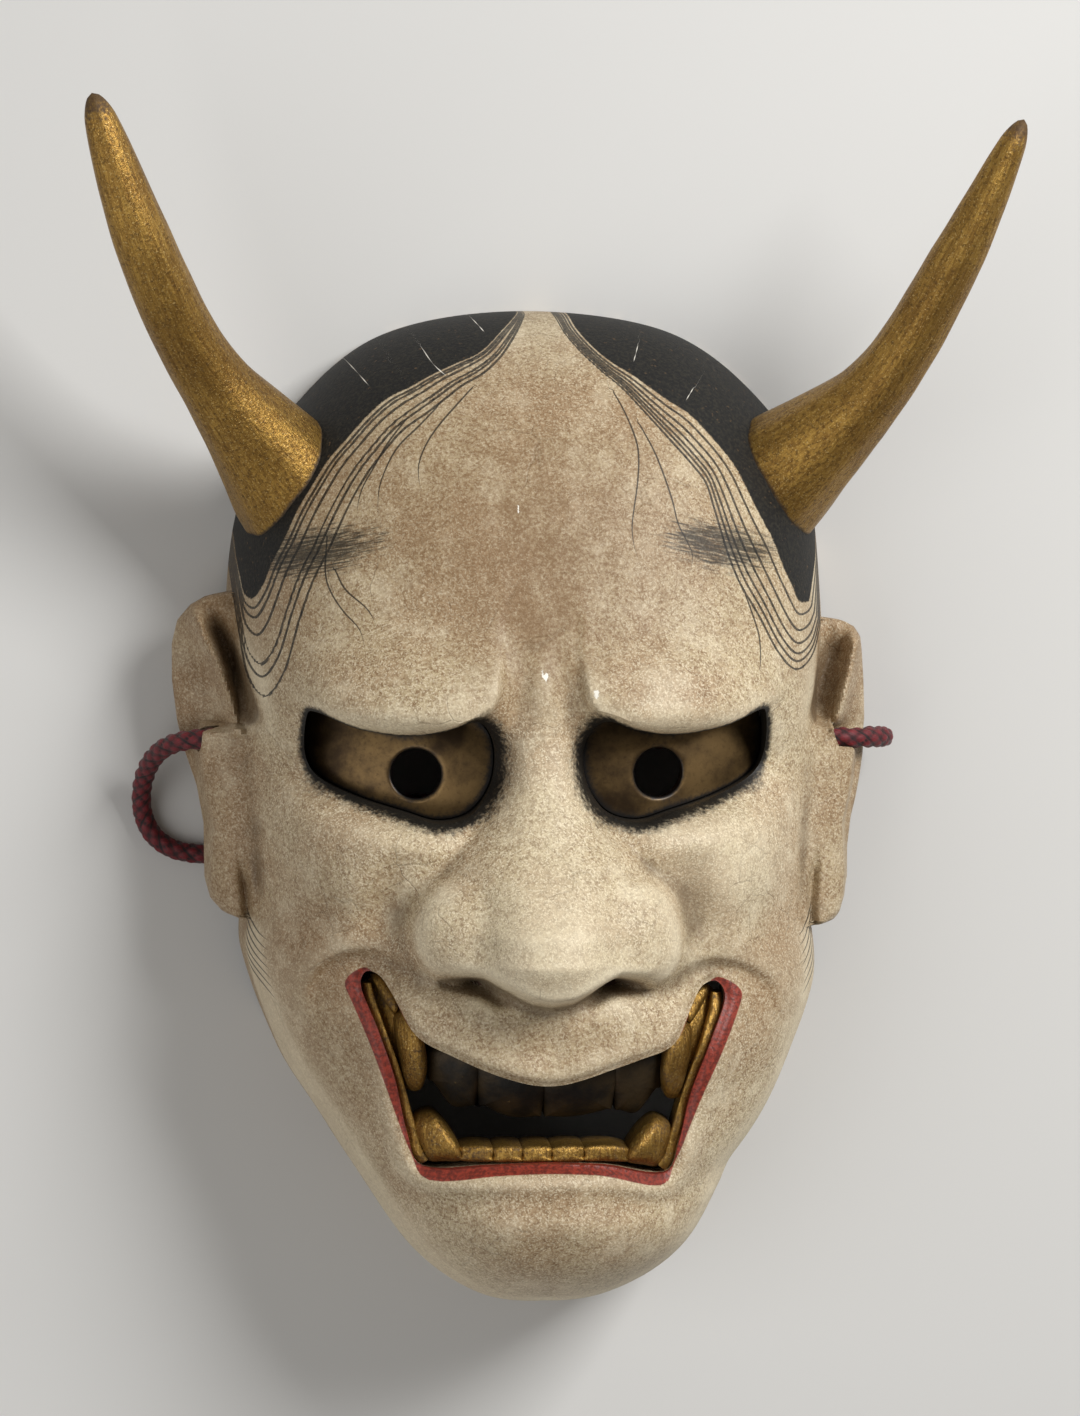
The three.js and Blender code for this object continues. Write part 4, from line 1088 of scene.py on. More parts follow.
@dataclass(frozen=True)
class BrownedMetal:
    """Gilt sheet of the eyes, gone brown and clouded."""

    gold: tuple = rgb(124, 99, 62)
    brown: tuple = rgb(66, 50, 32)
    black: tuple = rgb(20, 16, 13)

    def build(self, fx: Effects) -> Material:
        """Makes the material from the shared effects.

        Args:
            fx: The shared effects.

        Returns:
            The material.
        """
        material, t, shader, where = blank_material("browned eye metal")
        mottle = t.use(fx.mottle, Vector=where, Cloud=90.0, Speck=1100.0)
        metal = t.mix(t.reach(mottle["Clouds"], 0.36, 0.66), self.gold, self.brown)
        metal = t.layered(metal, [(t.reach(mottle["Specks"], 0.5, 0.7), 0.4, self.brown)])
        # Painted shade: black towards the plate's edge under the lids and round the pupil hole.
        rim = t.reach(t.ragged(t.note("bare"), mottle["Specks"], 0.7), 0.2, 0.9)
        t.feed(shader.inputs["Metallic"], t.blend(rim, 0.75, 0.1))
        rough = t.blend(mottle["Specks"], 0.34, 0.5)
        finish(t, shader, t.mix(rim, metal, self.black), rough, mottle["Clouds"], 0.3, 0.0004)
        return material


@dataclass(frozen=True)
class TarnishedAndShadedTeeth:
    """Dark brown metal of the upper front teeth, dark partly from tarnish and partly as painted shade of the
    deep mouth.
    """

    brown: tuple = rgb(58, 45, 25)
    black: tuple = rgb(20, 16, 11)
    bright: tuple = rgb(156, 128, 74)

    def build(self, fx: Effects) -> Material:
        """Makes the material from the shared effects.

        Args:
            fx: The shared effects.

        Returns:
            The material.
        """
        material, t, shader, where = blank_material("tarnished and shaded front teeth", Metallic=0.5)
        mottle = t.use(fx.mottle, Vector=where, Cloud=110.0, Speck=700.0)
        # Brighter specks of worn gilt, which also stand as painted glints.
        bare = t.reach(t.ragged(t.note("bare"), mottle["Specks"], 1.4), 0.7, 1.0)
        metal = t.mix(t.reach(mottle["Clouds"], 0.36, 0.64), self.brown, self.black)
        metal = t.layered(metal, [(bare, 0.8, self.bright)])
        finish(t, shader, metal, t.blend(mottle["Specks"], 0.44, 0.66), mottle["Specks"], 0.5, 0.0003)
        return material


@dataclass(frozen=True)
class SilkBraid:
    """Crimson silk of the tie cords, dark between the strands."""

    crimson: tuple = rgb(82, 12, 21)
    light: tuple = rgb(120, 25, 33)
    shadow: tuple = rgb(22, 5, 8)

    def build(self, fx: Effects) -> Material:
        """Makes the material from the shared effects.

        Args:
            fx: The shared effects.

        Returns:
            The material.
        """
        material, t, shader, _ = blank_material("crimson silk braid", Sheen_Weight=0.1, Sheen_Roughness=0.4)
        fibre = t.use(fx.streaks, Vector=t.note("along", "Vector"), Fineness=3.0, Length=0.2)["Streaks"]
        silk = t.mix(t.reach(fibre, 0.35, 0.65), self.crimson, self.light)
        silk = t.mix(t.reach(t.note("proud"), 0.15, 0.85), self.shadow, silk)
        finish(t, shader, silk, t.blend(fibre, 0.5, 0.72), fibre, 0.5, 0.0002)
        return material


def give(piece: Piece, *materials: Material) -> None:
    """Puts materials on a piece, in the order of its slots."""
    piece.data.materials.clear()
    for material in materials:
        piece.data.materials.append(material)


def settle(piece: Piece, slot: str, *nodes: str) -> None:
    """Lets a piece ride on the mask and stand for its CAD nodes."""
    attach(piece, "root")
    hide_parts(*nodes)
    LOG.info("%s: %d faces", piece.name, len(piece.data.polygons))


# The pieces


@dataclass
class Studio:
    """Camera, lights and floor."""

    target: tuple[float, float, float] = (0.5, 13.3, 55.0)
    turn: float = 4.0
    lift: float = 4.0
    distance: float = 1.2
    lens: float = 36 * 5700 / 1416

    def shoot(self, bench: Bench) -> None:
        """Sets up the camera at the photograph's viewing angle.

        Args:
            bench: Where meshes are made.
        """
        turn, lift = math.radians(self.turn), math.radians(self.lift)
        toward = Vector((-math.sin(turn), math.sin(lift), 1)).normalized()
        right = Vector((0, 1, 0)).cross(toward).normalized()
        matrix = Matrix((right, toward.cross(right), toward)).transposed().to_4x4()
        matrix.translation = Vector(bench.place(self.target)) + toward * self.distance
        data = bpy.data.cameras.new("camera")
        data.lens, data.clip_start = self.lens, 0.01
        camera = bpy.data.objects.new("camera", data)
        camera.matrix_world = matrix
        bpy.context.scene.collection.objects.link(camera)
        bpy.context.scene.camera = camera

    @staticmethod
    def lamp(name: str, place: Sequence[float], size: float, watts: float) -> None:
        """Adds a soft lamp that faces the mask.

        Args:
            name: Its name.
            place: Where it stands, in metres.
            size: Breadth in metres.
            watts: Its power.
        """
        data = bpy.data.lights.new(name, "AREA")
        data.size, data.energy = size, watts
        lamp = bpy.data.objects.new(name, data)
        lamp.location = place
        lamp.rotation_mode = "QUATERNION"
        lamp.rotation_quaternion = (Vector(place) - Vector((0, 0, 0.05))).to_track_quat("Z", "Y")
        bpy.context.scene.collection.objects.link(lamp)

    def light(self) -> None:
        """Lights the mask from the viewer's upper right, and lays the floor."""
        self.lamp("key", (0.55, 0.5, 0.75), 0.4, 11)
        self.lamp("fill", (-0.7, -0.25, 0.8), 0.9, 3.8)
        world = bpy.data.worlds.new("studio")
        world.use_nodes = True
        sky = world.node_tree.nodes["Background"].inputs
        sky["Color"].default_value, sky["Strength"].default_value = (0.9, 0.87, 0.84, 1), 0.22
        bpy.context.scene.world = world
        bpy.context.scene.view_settings.view_transform = "Standard"
        mesh = bpy.data.meshes.new("floor")
        corners = [(-3, -3, 0), (3, -3, 0), (3, 3, 0), (-3, 3, 0)]
        mesh.from_pydata(corners, [], [(0, 1, 2, 3)])
        floor = bpy.data.objects.new("floor", mesh)
        floor.location.z = -0.0002
        bpy.context.scene.collection.objects.link(floor)
        material, tree, shader, where = blank_material("plain pale floor", Roughness=0.8)
        cloud = tree.noise(where, 2.0, 3.0)
        tree.feed(shader.inputs["Base Color"], tree.mix(cloud, rgb(206, 205, 202), rgb(212, 211, 208)))
        give(floor, material)


@dataclass
class TieCord:
    """A braided cord: knotted behind its hole, out over the ear, under the rim and coiled in the hollow."""

    side: Side
    diameter: float = CORD_DIAMETER
    coil_across: float = 50.0
    knot: float = 9.5
    knot_flat: float = 0.86
    sides: int = 24
    step: float = 0.62
    touch: float = 0.3
    pitch: float = 3.4
    strands: int = 4

    ROUTES = {
        Side.RIGHT: [(53, 4.6, 24.4), (57, 4.6, 24.9), (62, 4.6, 25.2), (67, 4.6, 25.2), (71, 4.4, 24.3),
                     (75, 4.2, 21.6), (77.8, 4, 17.6), (78.7, 3.8, 13.4), (77.6, 3.6, 9), (74.6, 3.3, 5),
                     (70.4, 3, 2.8), (65, 2.8, 2.25), (58, 2.7, 2.25), (50, 2.7, 2.25), (42, 2.7, 2.25),
                     (34, 2.7, 2.25), (25, 2.7, 2.25), (16, 2.7, 2.25)],
        Side.LEFT: [(-53, 5.2, 24.4), (-57, 5.2, 24.9), (-62, 5.2, 25.2), (-67, 5.1, 25.2),
                    (-71.2, 4.8, 24.2), (-75.2, 4, 21.4), (-78.6, 2.2, 17.2), (-81, -0.6, 12.6),
                    (-82.6, -4.4, 8.2), (-83.3, -8.8, 4.8), (-82.9, -13.4, 2.8), (-80.8, -17.8, 2.25),
                    (-76.8, -20.8, 2.25), (-71.6, -22, 2.25), (-65, -22, 2.25), (-57, -20, 2.25),
                    (-49, -17, 2.25), (-41, -14, 2.25), (-33.5, -11.9, 2.25), (-24, -11.2, 2.25),
                    (-16, -11.4, 2.25)],
    }
    COILS = {Side.RIGHT: (8.0, 30.0), Side.LEFT: (-10.0, -39.0)}
    TURNS = 5.5

    def coil(self) -> Array:
        """Points of the coil's turns, two side by side in three layers, and its free end."""
        cx, cy = self.COILS[self.side]
        start = -np.pi / 2 if self.side is Side.RIGHT else np.pi / 2
        d = self.diameter
        outer, inner = self.coil_across / 2 + d / 2, self.coil_across / 2 - d / 2
        lanes = np.array([(outer, d / 2), (inner, d / 2), (inner, 1.5 * d), (outer, 1.5 * d),
                          (inner, 2.5 * d), (outer, 2.5 * d)])
        t = np.arange(0, self.TURNS + 1e-6, 1 / 30)
        lane = np.minimum(t.astype(int), len(lanes) - 1)
        after = np.minimum(lane + 1, len(lanes) - 1)
        change = ease((t - lane - 0.86) / 0.14)[:, None]
        radius, height = (lanes[lane] * (1 - change) + lanes[after] * change).T
        leave = np.clip((t - self.TURNS + 0.27) / 0.27, 0, 1)
        radius = radius + (d + 0.2) * ease(leave * 1.7) + (self.knot / 2 - d / 2) * ease(leave * 2.5 - 1.5)
        height = height + (self.knot / 2 * self.knot_flat - height) * ease((leave - 0.25) / 0.75)
        angle = start - FULL_TURN * t
        return np.c_[cx + radius * np.cos(angle), cy + radius * np.sin(angle), height]

    def path(self) -> Array:
        """The cord's centreline in even steps."""
        line = smooth_line(np.vstack([self.ROUTES[self.side], self.coil()]), per=8)
        return evenly(line, int(run_along(line)[-1] / self.step) + 1)

    def braid(self, bench: Bench, name: str, path: Array) -> Piece:
        """A round braid along a path.

        Args:
            bench: Where meshes are made.
            name: Name of the piece.
            path: Its centreline in even steps.

        Returns:
            The object, which keeps how proud each point lies.
        """
        run = np.arange(len(path)) * np.linalg.norm(path[1] - path[0])
        angles = np.arange(self.sides) * FULL_TURN / self.sides
        lead, drift = self.strands * angles, run[:, None] * FULL_TURN / self.pitch
        crossing = np.sin((lead + drift) / 2) * np.sin((lead - drift) / 2)
        proud = np.abs(crossing) ** 0.5
        shape = rings(path, lambda i, _: self.diameter / 2 * (0.77 + 0.23 * proud[i]), self.sides)
        piece = bench.make(name, *shape)
        bench.smooth(piece, 80)
        bench.note(piece, "proud", np.concatenate([proud.ravel(), [0.5, 0.5]]))
        lay = np.sign(crossing)
        around = lay * angles * self.diameter / 2
        along = np.stack([run[:, None] + around, run[:, None] * 0.5 - around, lay], -1).reshape(-1, 3)
        bench.note(piece, "along", np.vstack([along, np.zeros((2, 3))]))
        return piece

    def knotted(self, bench: Bench, name: str, centre: Sequence[float]) -> Piece:
        """An overhand knot drawn into a ball."""
        t = np.linspace(0, FULL_TURN, 150)
        loop = np.c_[np.sin(t) + 2 * np.sin(2 * t), np.cos(t) - 2 * np.cos(2 * t), -1.15 * np.sin(3 * t)]
        room = (self.knot - self.diameter) / 2
        return self.braid(bench, name, np.array(centre) + loop * room / 3 * (1, 1, 0.95 * self.knot_flat))

    def build(self, bench: Bench, silk: Material) -> None:
        """Makes the cord and its knots.

        Args:
            bench: Where meshes are made.
            silk: The cord's finish.
        """
        word, sign = self.side.word, self.side.value
        path = self.path()
        cord = self.braid(bench, f"tie_cord_{word}", path)
        start = self.ROUTES[self.side][0]
        inner = (start[0] - sign * (self.knot / 2 + self.touch), start[1], start[2])
        stopper = self.knotted(bench, f"stopper_knot_{word}", inner)
        cx, cy = self.COILS[self.side]
        away = self.coil_across / 2 + self.diameter + self.knot / 2 + self.touch
        flat = self.knot / 2 * self.knot_flat
        end = self.knotted(bench, f"end_knot_{word}", (cx, cy + sign * away, flat))
        for piece in (cord, stopper, end):
            give(piece, silk)
        settle(cord, "silk", f"cord_{word}", f"cord_{word}_coil")
        settle(stopper, "silk", f"cord_{word}_knot")
        settle(end, "silk", f"cord_{word}_end")


@dataclass
class Ear:
    """One ear: a back plate, a ridge with a channel inside it, and the lobe in front."""

    side: Side
    carving: Carving
    inner: float = 52.0
    columns: int = 48
    rows: int = 96

    # Heights along the outer edge, from the foot to the top, and how far out it stands there
    EDGES = {
        Side.LEFT: ([-33.8, -32.4, -29.7, -25.5, -14, -5.6, 1, 8, 17, 25, 30, 33.4, 35.4, 36.4],
                    [62, 66, 68.6, 69.8, 69.9, 71.4, 73.7, 75.5, 76.6, 76.6, 75.4, 72.6, 69, 64]),
        Side.RIGHT: ([-36, -35, -33, -30.7, -26.4, -20, -13.4, -9, -4.7, 0, 8, 17, 22, 26, 28.2, 29.6, 30.4],
                     [62, 65.8, 68.3, 69.6, 70.4, 70.4, 71.2, 72.3, 73.1, 73.8, 74.4, 74, 73.6, 73, 71.6, 69,
                      64]),
    }
    # Where the lobe's shoulder drops away over the cord, from and to
    SHOULDERS = {Side.LEFT: [70.6, 72], Side.RIGHT: [65.6, 67.2]}

    @property
    def foot(self) -> float:
        """Where the lobe ends."""
        return self.EDGES[self.side][0][0]

    @property
    def top(self) -> float:
        """Where the upper edge lies."""
        return self.EDGES[self.side][0][-1]

    def reach(self, y: Array) -> Array:
        """How far the ear stands out."""
        return np.interp(y, *self.EDGES[self.side])

    def front(self, x: Array, y: Array) -> Array:
        """Height of its front, blended into the side of the head.

        Args:
            x: How far out, on either side.
            y: Places along.

        Returns:
            The height.
        """
        head = self.carving.face_at(self.side.value * x, y) - 0.3
        plate = np.interp(x, [52, 60, 66, 76], [24, 24, 22, 16.5]) - 2.5 * mound(x, y, 72, 5, 10, 5)
        lobe_reach = np.interp(y, [-36, -30, -24, -14, -6, 1, 6, 8],
                               [67, 69.4, 69.8, 69.0, 70.8, 71.6, 71.4, 70])
        lobe = 33 - 0.45 * np.maximum(0, x - 60) - 8 * ease((x - lobe_reach + 1.4) / 2.2)
        shoulder = np.interp(x, self.SHOULDERS[self.side], [8.6, 4.2])
        lobed = blend_max(plate, plate + (lobe - plate) * ease((shoulder - y) / 1.8), 1)
        ridge_x = self.carving.ear_ridge(self.side.value * x, y)
        across = (x - ridge_x) / np.where(x < ridge_x, 1.5, 2.6)
        ridge = 6.5 * fading(across, 1) * ease((y - 5.5) / 3) * ease((self.top - y) / 6)
        channel = 5.5 * self.carving.ear_channel(self.side.value * x, y)
        crease_x = np.interp(y, [-34, -22], [60.4, 61.8])
        crease = 3.2 * fading(x - crease_x, 1.1) * ease((-18 - y) / 9)
        wedge = ease((y + 24) / 8) * ease((7 - y) / 4)
        blended = blend_max(lobed + ridge - channel, head, 1.5 + 4.5 * wedge)
        return blended - crease + 0.15 * uneven(x, y, 14, 6)

    @staticmethod
    def behind(x: Array, y: Array) -> Array:
        """Height of its back."""
        return np.interp(x, [52, 62, 76], [9, 11, 11.5]) + 0.5 * mound(x, y, 66, 0, 10, 20)

    def solid(self) -> Solid:
        """The ear as a closed sheet with a rounded edge."""
        across = np.linspace(0, 1, self.columns + 1)
        share, row = np.meshgrid(0.55 * across + 0.45 * np.sin(np.pi / 2 * across),
                                 np.linspace(0, 1, self.rows + 1))
        foot, top = self.foot, self.top
        y = np.clip(foot + (top - foot) * (ease(0.5 + (row - 0.5) * 0.86) * 1.1 - 0.05), foot, top)
        x = self.inner + (self.reach(y) - self.inner) * share
        high, low = self.front(x, y), self.behind(x, y)
        middle = low + (high - low) * 0.55
        thin = np.maximum(0.12, np.sqrt(1 - share ** 8) * (1 - 0.5 * ease((y - top + 6.5) / 6.5)))
        sheets = [np.stack([self.side.value * x, y, middle + (z - middle) * thin], -1) for z in (high, low)]
        return between(*sheets) if self.side is Side.RIGHT else between(*sheets[::-1])


@dataclass
class Raster:
    """The carved face's height on a regular grid, for looking up heights and recesses by place."""

    carving: Carving
    step: float = 0.6
    low: tuple[float, float] = (-84.0, -120.0)
    high: tuple[float, float] = (84.0, 99.0)

    def __post_init__(self) -> None:
        """Fills in the heights and how far each place lies below its surroundings."""
        x = np.arange(self.low[0], self.high[0], self.step)
        y = np.arange(self.low[1], self.high[1], self.step)
        grid = np.meshgrid(x, y)
        self.height = self.carving.face_at(*grid)
        for side in Side:
            ear, out = Ear(side, self.carving), side.value * grid[0]
            here = (out > ear.inner) & (out < ear.reach(grid[1])) & (grid[1] > ear.foot) & (grid[1] < ear.top)
            self.height[here] = np.maximum(self.height[here], ear.front(out[here], grid[1][here]))
        self.fine = self.blurred(self.blurred(self.height, 3) - self.height, 1)
        self.broad = self.blurred(self.blurred(self.height, 9) - self.height, 1)

    @staticmethod
    def blurred(values: Array, cells_out: int) -> Array:
        """Values averaged twice over a square of cells.

        Args:
            values: The values.
            cells_out: Half the square's width in cells.

        Returns:
            The averages.
        """
        for _ in range(2):
            for axis in (0, 1):
                width = [(cells_out + 1, cells_out) if k == axis else (0, 0) for k in (0, 1)]
                total = np.cumsum(np.pad(values, width, mode="edge"), axis=axis)
                count = 2 * cells_out + 1
                upto = np.take(total, range(count, total.shape[axis]), axis)
                values = (upto - np.take(total, range(total.shape[axis] - count), axis)) / count
        return values

    def at(self, layer: Array, x: Array, y: Array) -> Array:
        """A layer's values at places, between its grid points."""
        u = np.clip((x - self.low[0]) / self.step, 0, layer.shape[1] - 1.001)
        v = np.clip((y - self.low[1]) / self.step, 0, layer.shape[0] - 1.001)
        i, j = u.astype(int), v.astype(int)
        s, t = u - i, v - j
        return ((layer[j, i] * (1 - s) + layer[j, i + 1] * s) * (1 - t)
                + (layer[j + 1, i] * (1 - s) + layer[j + 1, i + 1] * s) * t)


@dataclass
class Painting:
    """What is drawn on the face, with its painted shade and painted highlights, as values that the finish
    reads.
    """

    # Each side's first and last strand, from the parting to the loop at the temple
    HAIRLINES = {
        Side.LEFT: (
            [(-1, 96.5), (-5.5, 92.5), (-10.5, 88), (-16, 85.5), (-21.5, 83), (-26, 80.5), (-31, 78),
             (-35.5, 74), (-40, 69), (-43.5, 65), (-47, 59.5), (-50, 54.5), (-52.5, 49), (-55.5, 43),
             (-57, 39), (-58.5, 36.5), (-59.5, 35.5), (-61, 36), (-61.5, 37)],
            [(0, 96), (-3, 91.5), (-6.5, 87), (-10.5, 83.5), (-15, 81), (-19, 78), (-23, 75), (-28, 71.5),
             (-32, 67), (-35.5, 62.5), (-38.5, 57.5), (-41.5, 51.5), (-44, 46), (-47, 40), (-50, 31.5),
             (-53, 21), (-57, 15), (-60.5, 19), (-62.5, 30)],
            [0.0, 0.1, 0.19, 0.37, 0.67, 0.79, 1.0]),
        Side.RIGHT: (
            [(9.5, 96.5), (10.5, 93), (13.5, 89), (17.5, 85.5), (21.5, 83), (25.5, 80), (29, 77.5), (33, 75),
             (36.5, 71.5), (40, 67.5), (43, 63.5), (45.5, 58.5), (48, 53.5), (51, 48), (53, 43), (55.5, 38),
             (57, 35), (59, 34.5), (60, 34.5)],
            [(6.5, 96), (8, 92), (11, 88), (15, 84), (19, 80.5), (22.5, 76.5), (26, 72.5), (29.5, 68.5),
             (33, 64.5), (36, 60.5), (37.5, 55.5), (39, 50), (40.5, 45), (43, 39), (47, 32.5), (51.5, 24.5),
             (56, 20.5), (60.5, 23), (63.5, 29)],
            [0.0, 0.19, 0.43, 0.62, 0.77, 0.88, 1.0]),
    }
    LOOSE = [[(-27, 74), (-31, 69), (-34, 64), (-37, 58.5), (-38, 52.5)],
             [(-20, 77), (-24.5, 72.5), (-29.5, 67.5), (-33, 60), (-33.5, 53)],
             [(-13, 80.5), (-20.5, 72.5), (-24, 67), (-25, 62.5), (-24, 57.5)],
             [(-44, 49.5), (-44.5, 42), (-43.5, 38), (-41, 34), (-37.5, 30), (-36.5, 25)],
             [(-42.5, 42.5), (-40.5, 38.5), (-36.5, 35), (-35, 33), (-34, 30.5)],
             [(17, 79.5), (19, 75.5), (21, 70), (21.5, 66), (21, 60.5), (20, 55), (19.5, 51), (20, 47),
              (21.5, 42.5)],
             [(22, 73), (25, 67), (27, 61.5), (28.5, 56.5), (29.5, 52), (31.5, 48), (32.5, 45), (31, 39.5)],
             [(44, 37), (45.5, 33), (47, 28), (47, 22.5), (46, 19.5)]]
    CRACKLE = [[(-23, 89), (-20.8, 85.4), (-17.9, 82.6)], [(-11.4, 95.1), (-9.2, 92)],
               [(-38.7, 86.1), (-34.2, 80.5)], [(23.6, 89.4), (22, 85.7)], [(34.8, 80.3), (32.7, 77.6)]]
    OUTER_LIP = [(0, -65.6), (9, -63.8), (19, -59.8), (26.6, -55.4), (31, -47.5), (34, -43.6), (37, -41),
                 (40.8, -44), (39.5, -49), (35.5, -60), (31.8, -70), (28, -79.5), (24.5, -84.9), (11, -83.3),
                 (0, -82.7)]
    # White chips of the ground; the two on the frown ridges, at (0.5, 20.9) and (11, 17.3), are painted
    # glints.
    CHIPS_AND_GLINTS = [(0.5, 20.9, 0.75, 1.9), (-4.3, 55.3, 0.5, 1.3), (11, 17.3, 1.0, 1.1), (-3.4, 52.6, 0.4, 0.7)]

    @staticmethod
    def drawn(x: Array, y: Array, lines: list[Array], width: Sequence[float]) -> tuple[Array, Array]:
        """Signed distance to the nearest of several lines, and the half width of it there.

        Neighbouring lines take turns with the other sign, so that the distance doesn't jump between them.

        Args:
            x: Places across.
            y: Places along.
            lines: Lines in order, beside each other.
            width: Half widths spread along each line.

        Returns:
            The signed distance and the half width.
        """
        best = np.full(x.shape, 1e3)
        wide = np.zeros(x.shape)
        for number, line in enumerate(lines):
            d, share, side = nearest(x, y, line)
            near = d < np.abs(best)
            sign = np.where(side < 0, -1, 1) * (-1 if number % 2 else 1)
            best = np.where(near, sign * d, best)
            wide = np.where(near, spread(share, width), wide)
        return best, wide

    def combed(self, x: Array, y: Array, side: Side) -> tuple[Array, Array]:
        """Place among the combed strands of one side.

        Args:
            x: Places across.
            y: Places along.
            side: The side.

        Returns:
            A count that passes a whole number at each strand, and the millimetres from one to the next.
        """
        first, last, shares = self.HAIRLINES[side]
        first, last, sign = np.array(first), np.array(last), side.value
        edge_first = np.array([(sign * 62.8, 44), (sign * 64, 56), (sign * 80, 130), (first[0][0], 130)])
        edge_last = np.array([(sign * 63.8, 40), (sign * 65, 56), (sign * 81, 130), (last[0][0], 130)])
        away = []
        for share in shares:
            line = smooth_line(first + (last - first) * share, per=5)
            away.append(outside_by(x, y, np.vstack([line, edge_first + (edge_last - edge_first) * share])))
        count, gap = away[0].copy(), np.ones(x.shape)
        for number, (d, after) in enumerate(zip(away, [*away[1:], away[-1] - 1])):
            room = np.maximum(d - after, 0.25)
            count = np.where(d > 0, number + d / room, count)
            gap = np.where(d > 0, room, gap)
        return count, gap

    def sideburns(self) -> list[Array]:
        """Short fine hairs drawn at both sides of the jaw."""
        hairs = []
        for sign in (-1, 1):
            for k in range(7):
                x, y = 61.2 - 0.25 * k, -30 - 1.9 * k
                arc = [(x, y), (x - 1.3, y - 3.2), (x - 3.6, y - 6), (x - 6.6, y - 7.6 - 0.3 * k)]
                hairs.append(smooth_line([(sign * a, b) for a, b in arc], per=3))
        return hairs

    def values(self, x: Array, y: Array, height: Array, raster: Raster) -> dict[str, Array]:
        """Everything drawn or soiled, and the painted shade and highlights, at points of the mesh.

        Args:
            x: Places across.
            y: Places along.
            height: Heights of the points.
            raster: The carved face's heights and recesses.

        Returns:
            Values by name.
        """
        m = np.abs(x)
        out = {}
        h = raster.carving.dome_at(x, y)
        on_head = (h > 0) & (height > raster.carving.face(x, y, h) - 0.8)
        hair = np.full(x.shape, -50.0)
        comb, gap = np.full(x.shape, 20.0), np.ones(x.shape)
        for side in Side:
            sign = side.value
            mine = (sign * (x - 3.5) > 0) & (y > 8) & on_head
            comb[mine], gap[mine] = self.combed(x[mine], y[mine], side)
            hair[mine] = -comb[mine] * np.minimum(gap[mine], 1)
        out["hair"], out["comb"], out["comb_gap"] = hair, comb, gap
        loose = [smooth_line(line, per=4) for line in self.LOOSE]
        out["loose"], out["loose_width"] = self.drawn(x, y, loose, [0.16, 0.2, 0.18, 0.14, -0.05])
        burns, burn_width = self.drawn(x, y, self.sideburns(), [-0.05, 0.13, 0.15, 0.1, -0.05])
        low = (y < -20) & (np.abs(burns) < np.abs(out["loose"]))
        out["loose"] = np.where(low, burns, out["loose"])
        out["loose_width"] = np.where(low, burn_width, out["loose_width"])
        cracks = [smooth_line(line, per=4) for line in self.CRACKLE]
        out["crackle"], out["crackle_width"] = self.drawn(x, y, cracks, [0.02, 0.1, 0.0, 0.12, -0.05])

        left, right = (-46.5, 46.0, 13.0, 14.5, 5.2), (39, 47.2, -12.0, 13, 5.0)
        brow, brush = np.zeros(x.shape), np.zeros((*x.shape, 3))
        for (cx, cy, turn, rx, ry), here in ((left, x < 0), (right, x >= 0)):
            u, v = turned(x, y, cx, cy, turn)
            brow = np.where(here, np.exp(-(((u / rx) ** 2 + (v / ry) ** 2) ** 1.4)), brow)
            brush[here] = np.stack([u, v, np.full_like(u, turn)], -1)[here]
        out["brow"], out["brush"] = brow, brush

        d = outside_by(m, y, EYE)
        inner, under, outer = ease((17 - m) / 7), ease((1 - y) / 6), ease((m - 43) / 5)
        wide = 0.5 + 3.3 * inner + 2.2 * under * (1 - inner) + 1.2 * outer
        sunk = raster.carving.face_at(x, y) - height
        # The mouth's walls below the face are made black as painted shade; round the eyes this is black ink.
        in_mouth = (sunk > 0.9) & (np.abs(outside_by(x, y, MOUTH)) < 1.5)
        out["eye_ink_and_mouth_shade"] = np.where(in_mouth, 1.2, np.clip(1 - np.maximum(d, 0) / wide, -1, 1))
        lip = outside_by(x, y, smooth_line(mirrored(self.OUTER_LIP), closed=True, per=4))
        out["lip"] = np.where((height > 40) & (sunk < 1.1), -lip, -9)
        out["chip_and_glint"] = sum(mound(x, y, cx, cy, rx, ry, 20) for cx, cy, rx, ry in self.CHIPS_AND_GLINTS)
        # Recess: soiling and painted shade, in hollows, on the steep sides towards the rim and in the ears'
        # channels.
        fine, broad = raster.at(raster.fine, x, y), raster.at(raster.broad, x, y)
        facing = ease((h - 0.25) / 0.2)
        channel = raster.carving.ear_channel(x, y) * (height > 12)
        recess = np.clip((0.3 * fine + 0.14 * broad) * facing, 0, 0.75)
        out["recess"] = recess + 0.15 * (1 - facing) + 0.55 * channel
        # Paler on worn raised edges; the mounds are a painted highlight on the nose tip, the nose bridge and
        # the right cheek.
        painted_highlight = mounds(x, y, [(0.9, 2, -33, 17, 12), (0.75, 39, -20, 15, 12), (0.5, 1, -4, 7, 20)])
        out["lightened"] = np.clip(facing * (-1.0 * fine - 0.12), 0, 1) + painted_highlight
        # Painted shade: darker on the forehead, between the brows, on the muzzle and chin, the jaw sides,
        # beside the nose wings, on the whole left side and at the outer edges, and less under the painted
        # highlight.
        middle = [(0.95, -4, 60, 44, 32), (0.6, 0, 24, 14, 16), (0.35, 0, 40, 60, 24), (0.5, 0, -100, 34, 20),
                  (0.7, -44, -78, 18, 26), (0.7, 0, -56, 26, 9)]
        sides = [(0.6, 46, -40, 14, 20), (0.6, 32.5, -26, 4.5, 9, 14)]
        out["painted_shade"] = np.clip(mounds(x, y, middle) + mounds(m, y, sides) + 0.35 * ease((-x - 30) / 30)
                               + 0.5 * ease((m - 54) / 10) - 0.5 * painted_highlight, 0, 1.2)
        return out


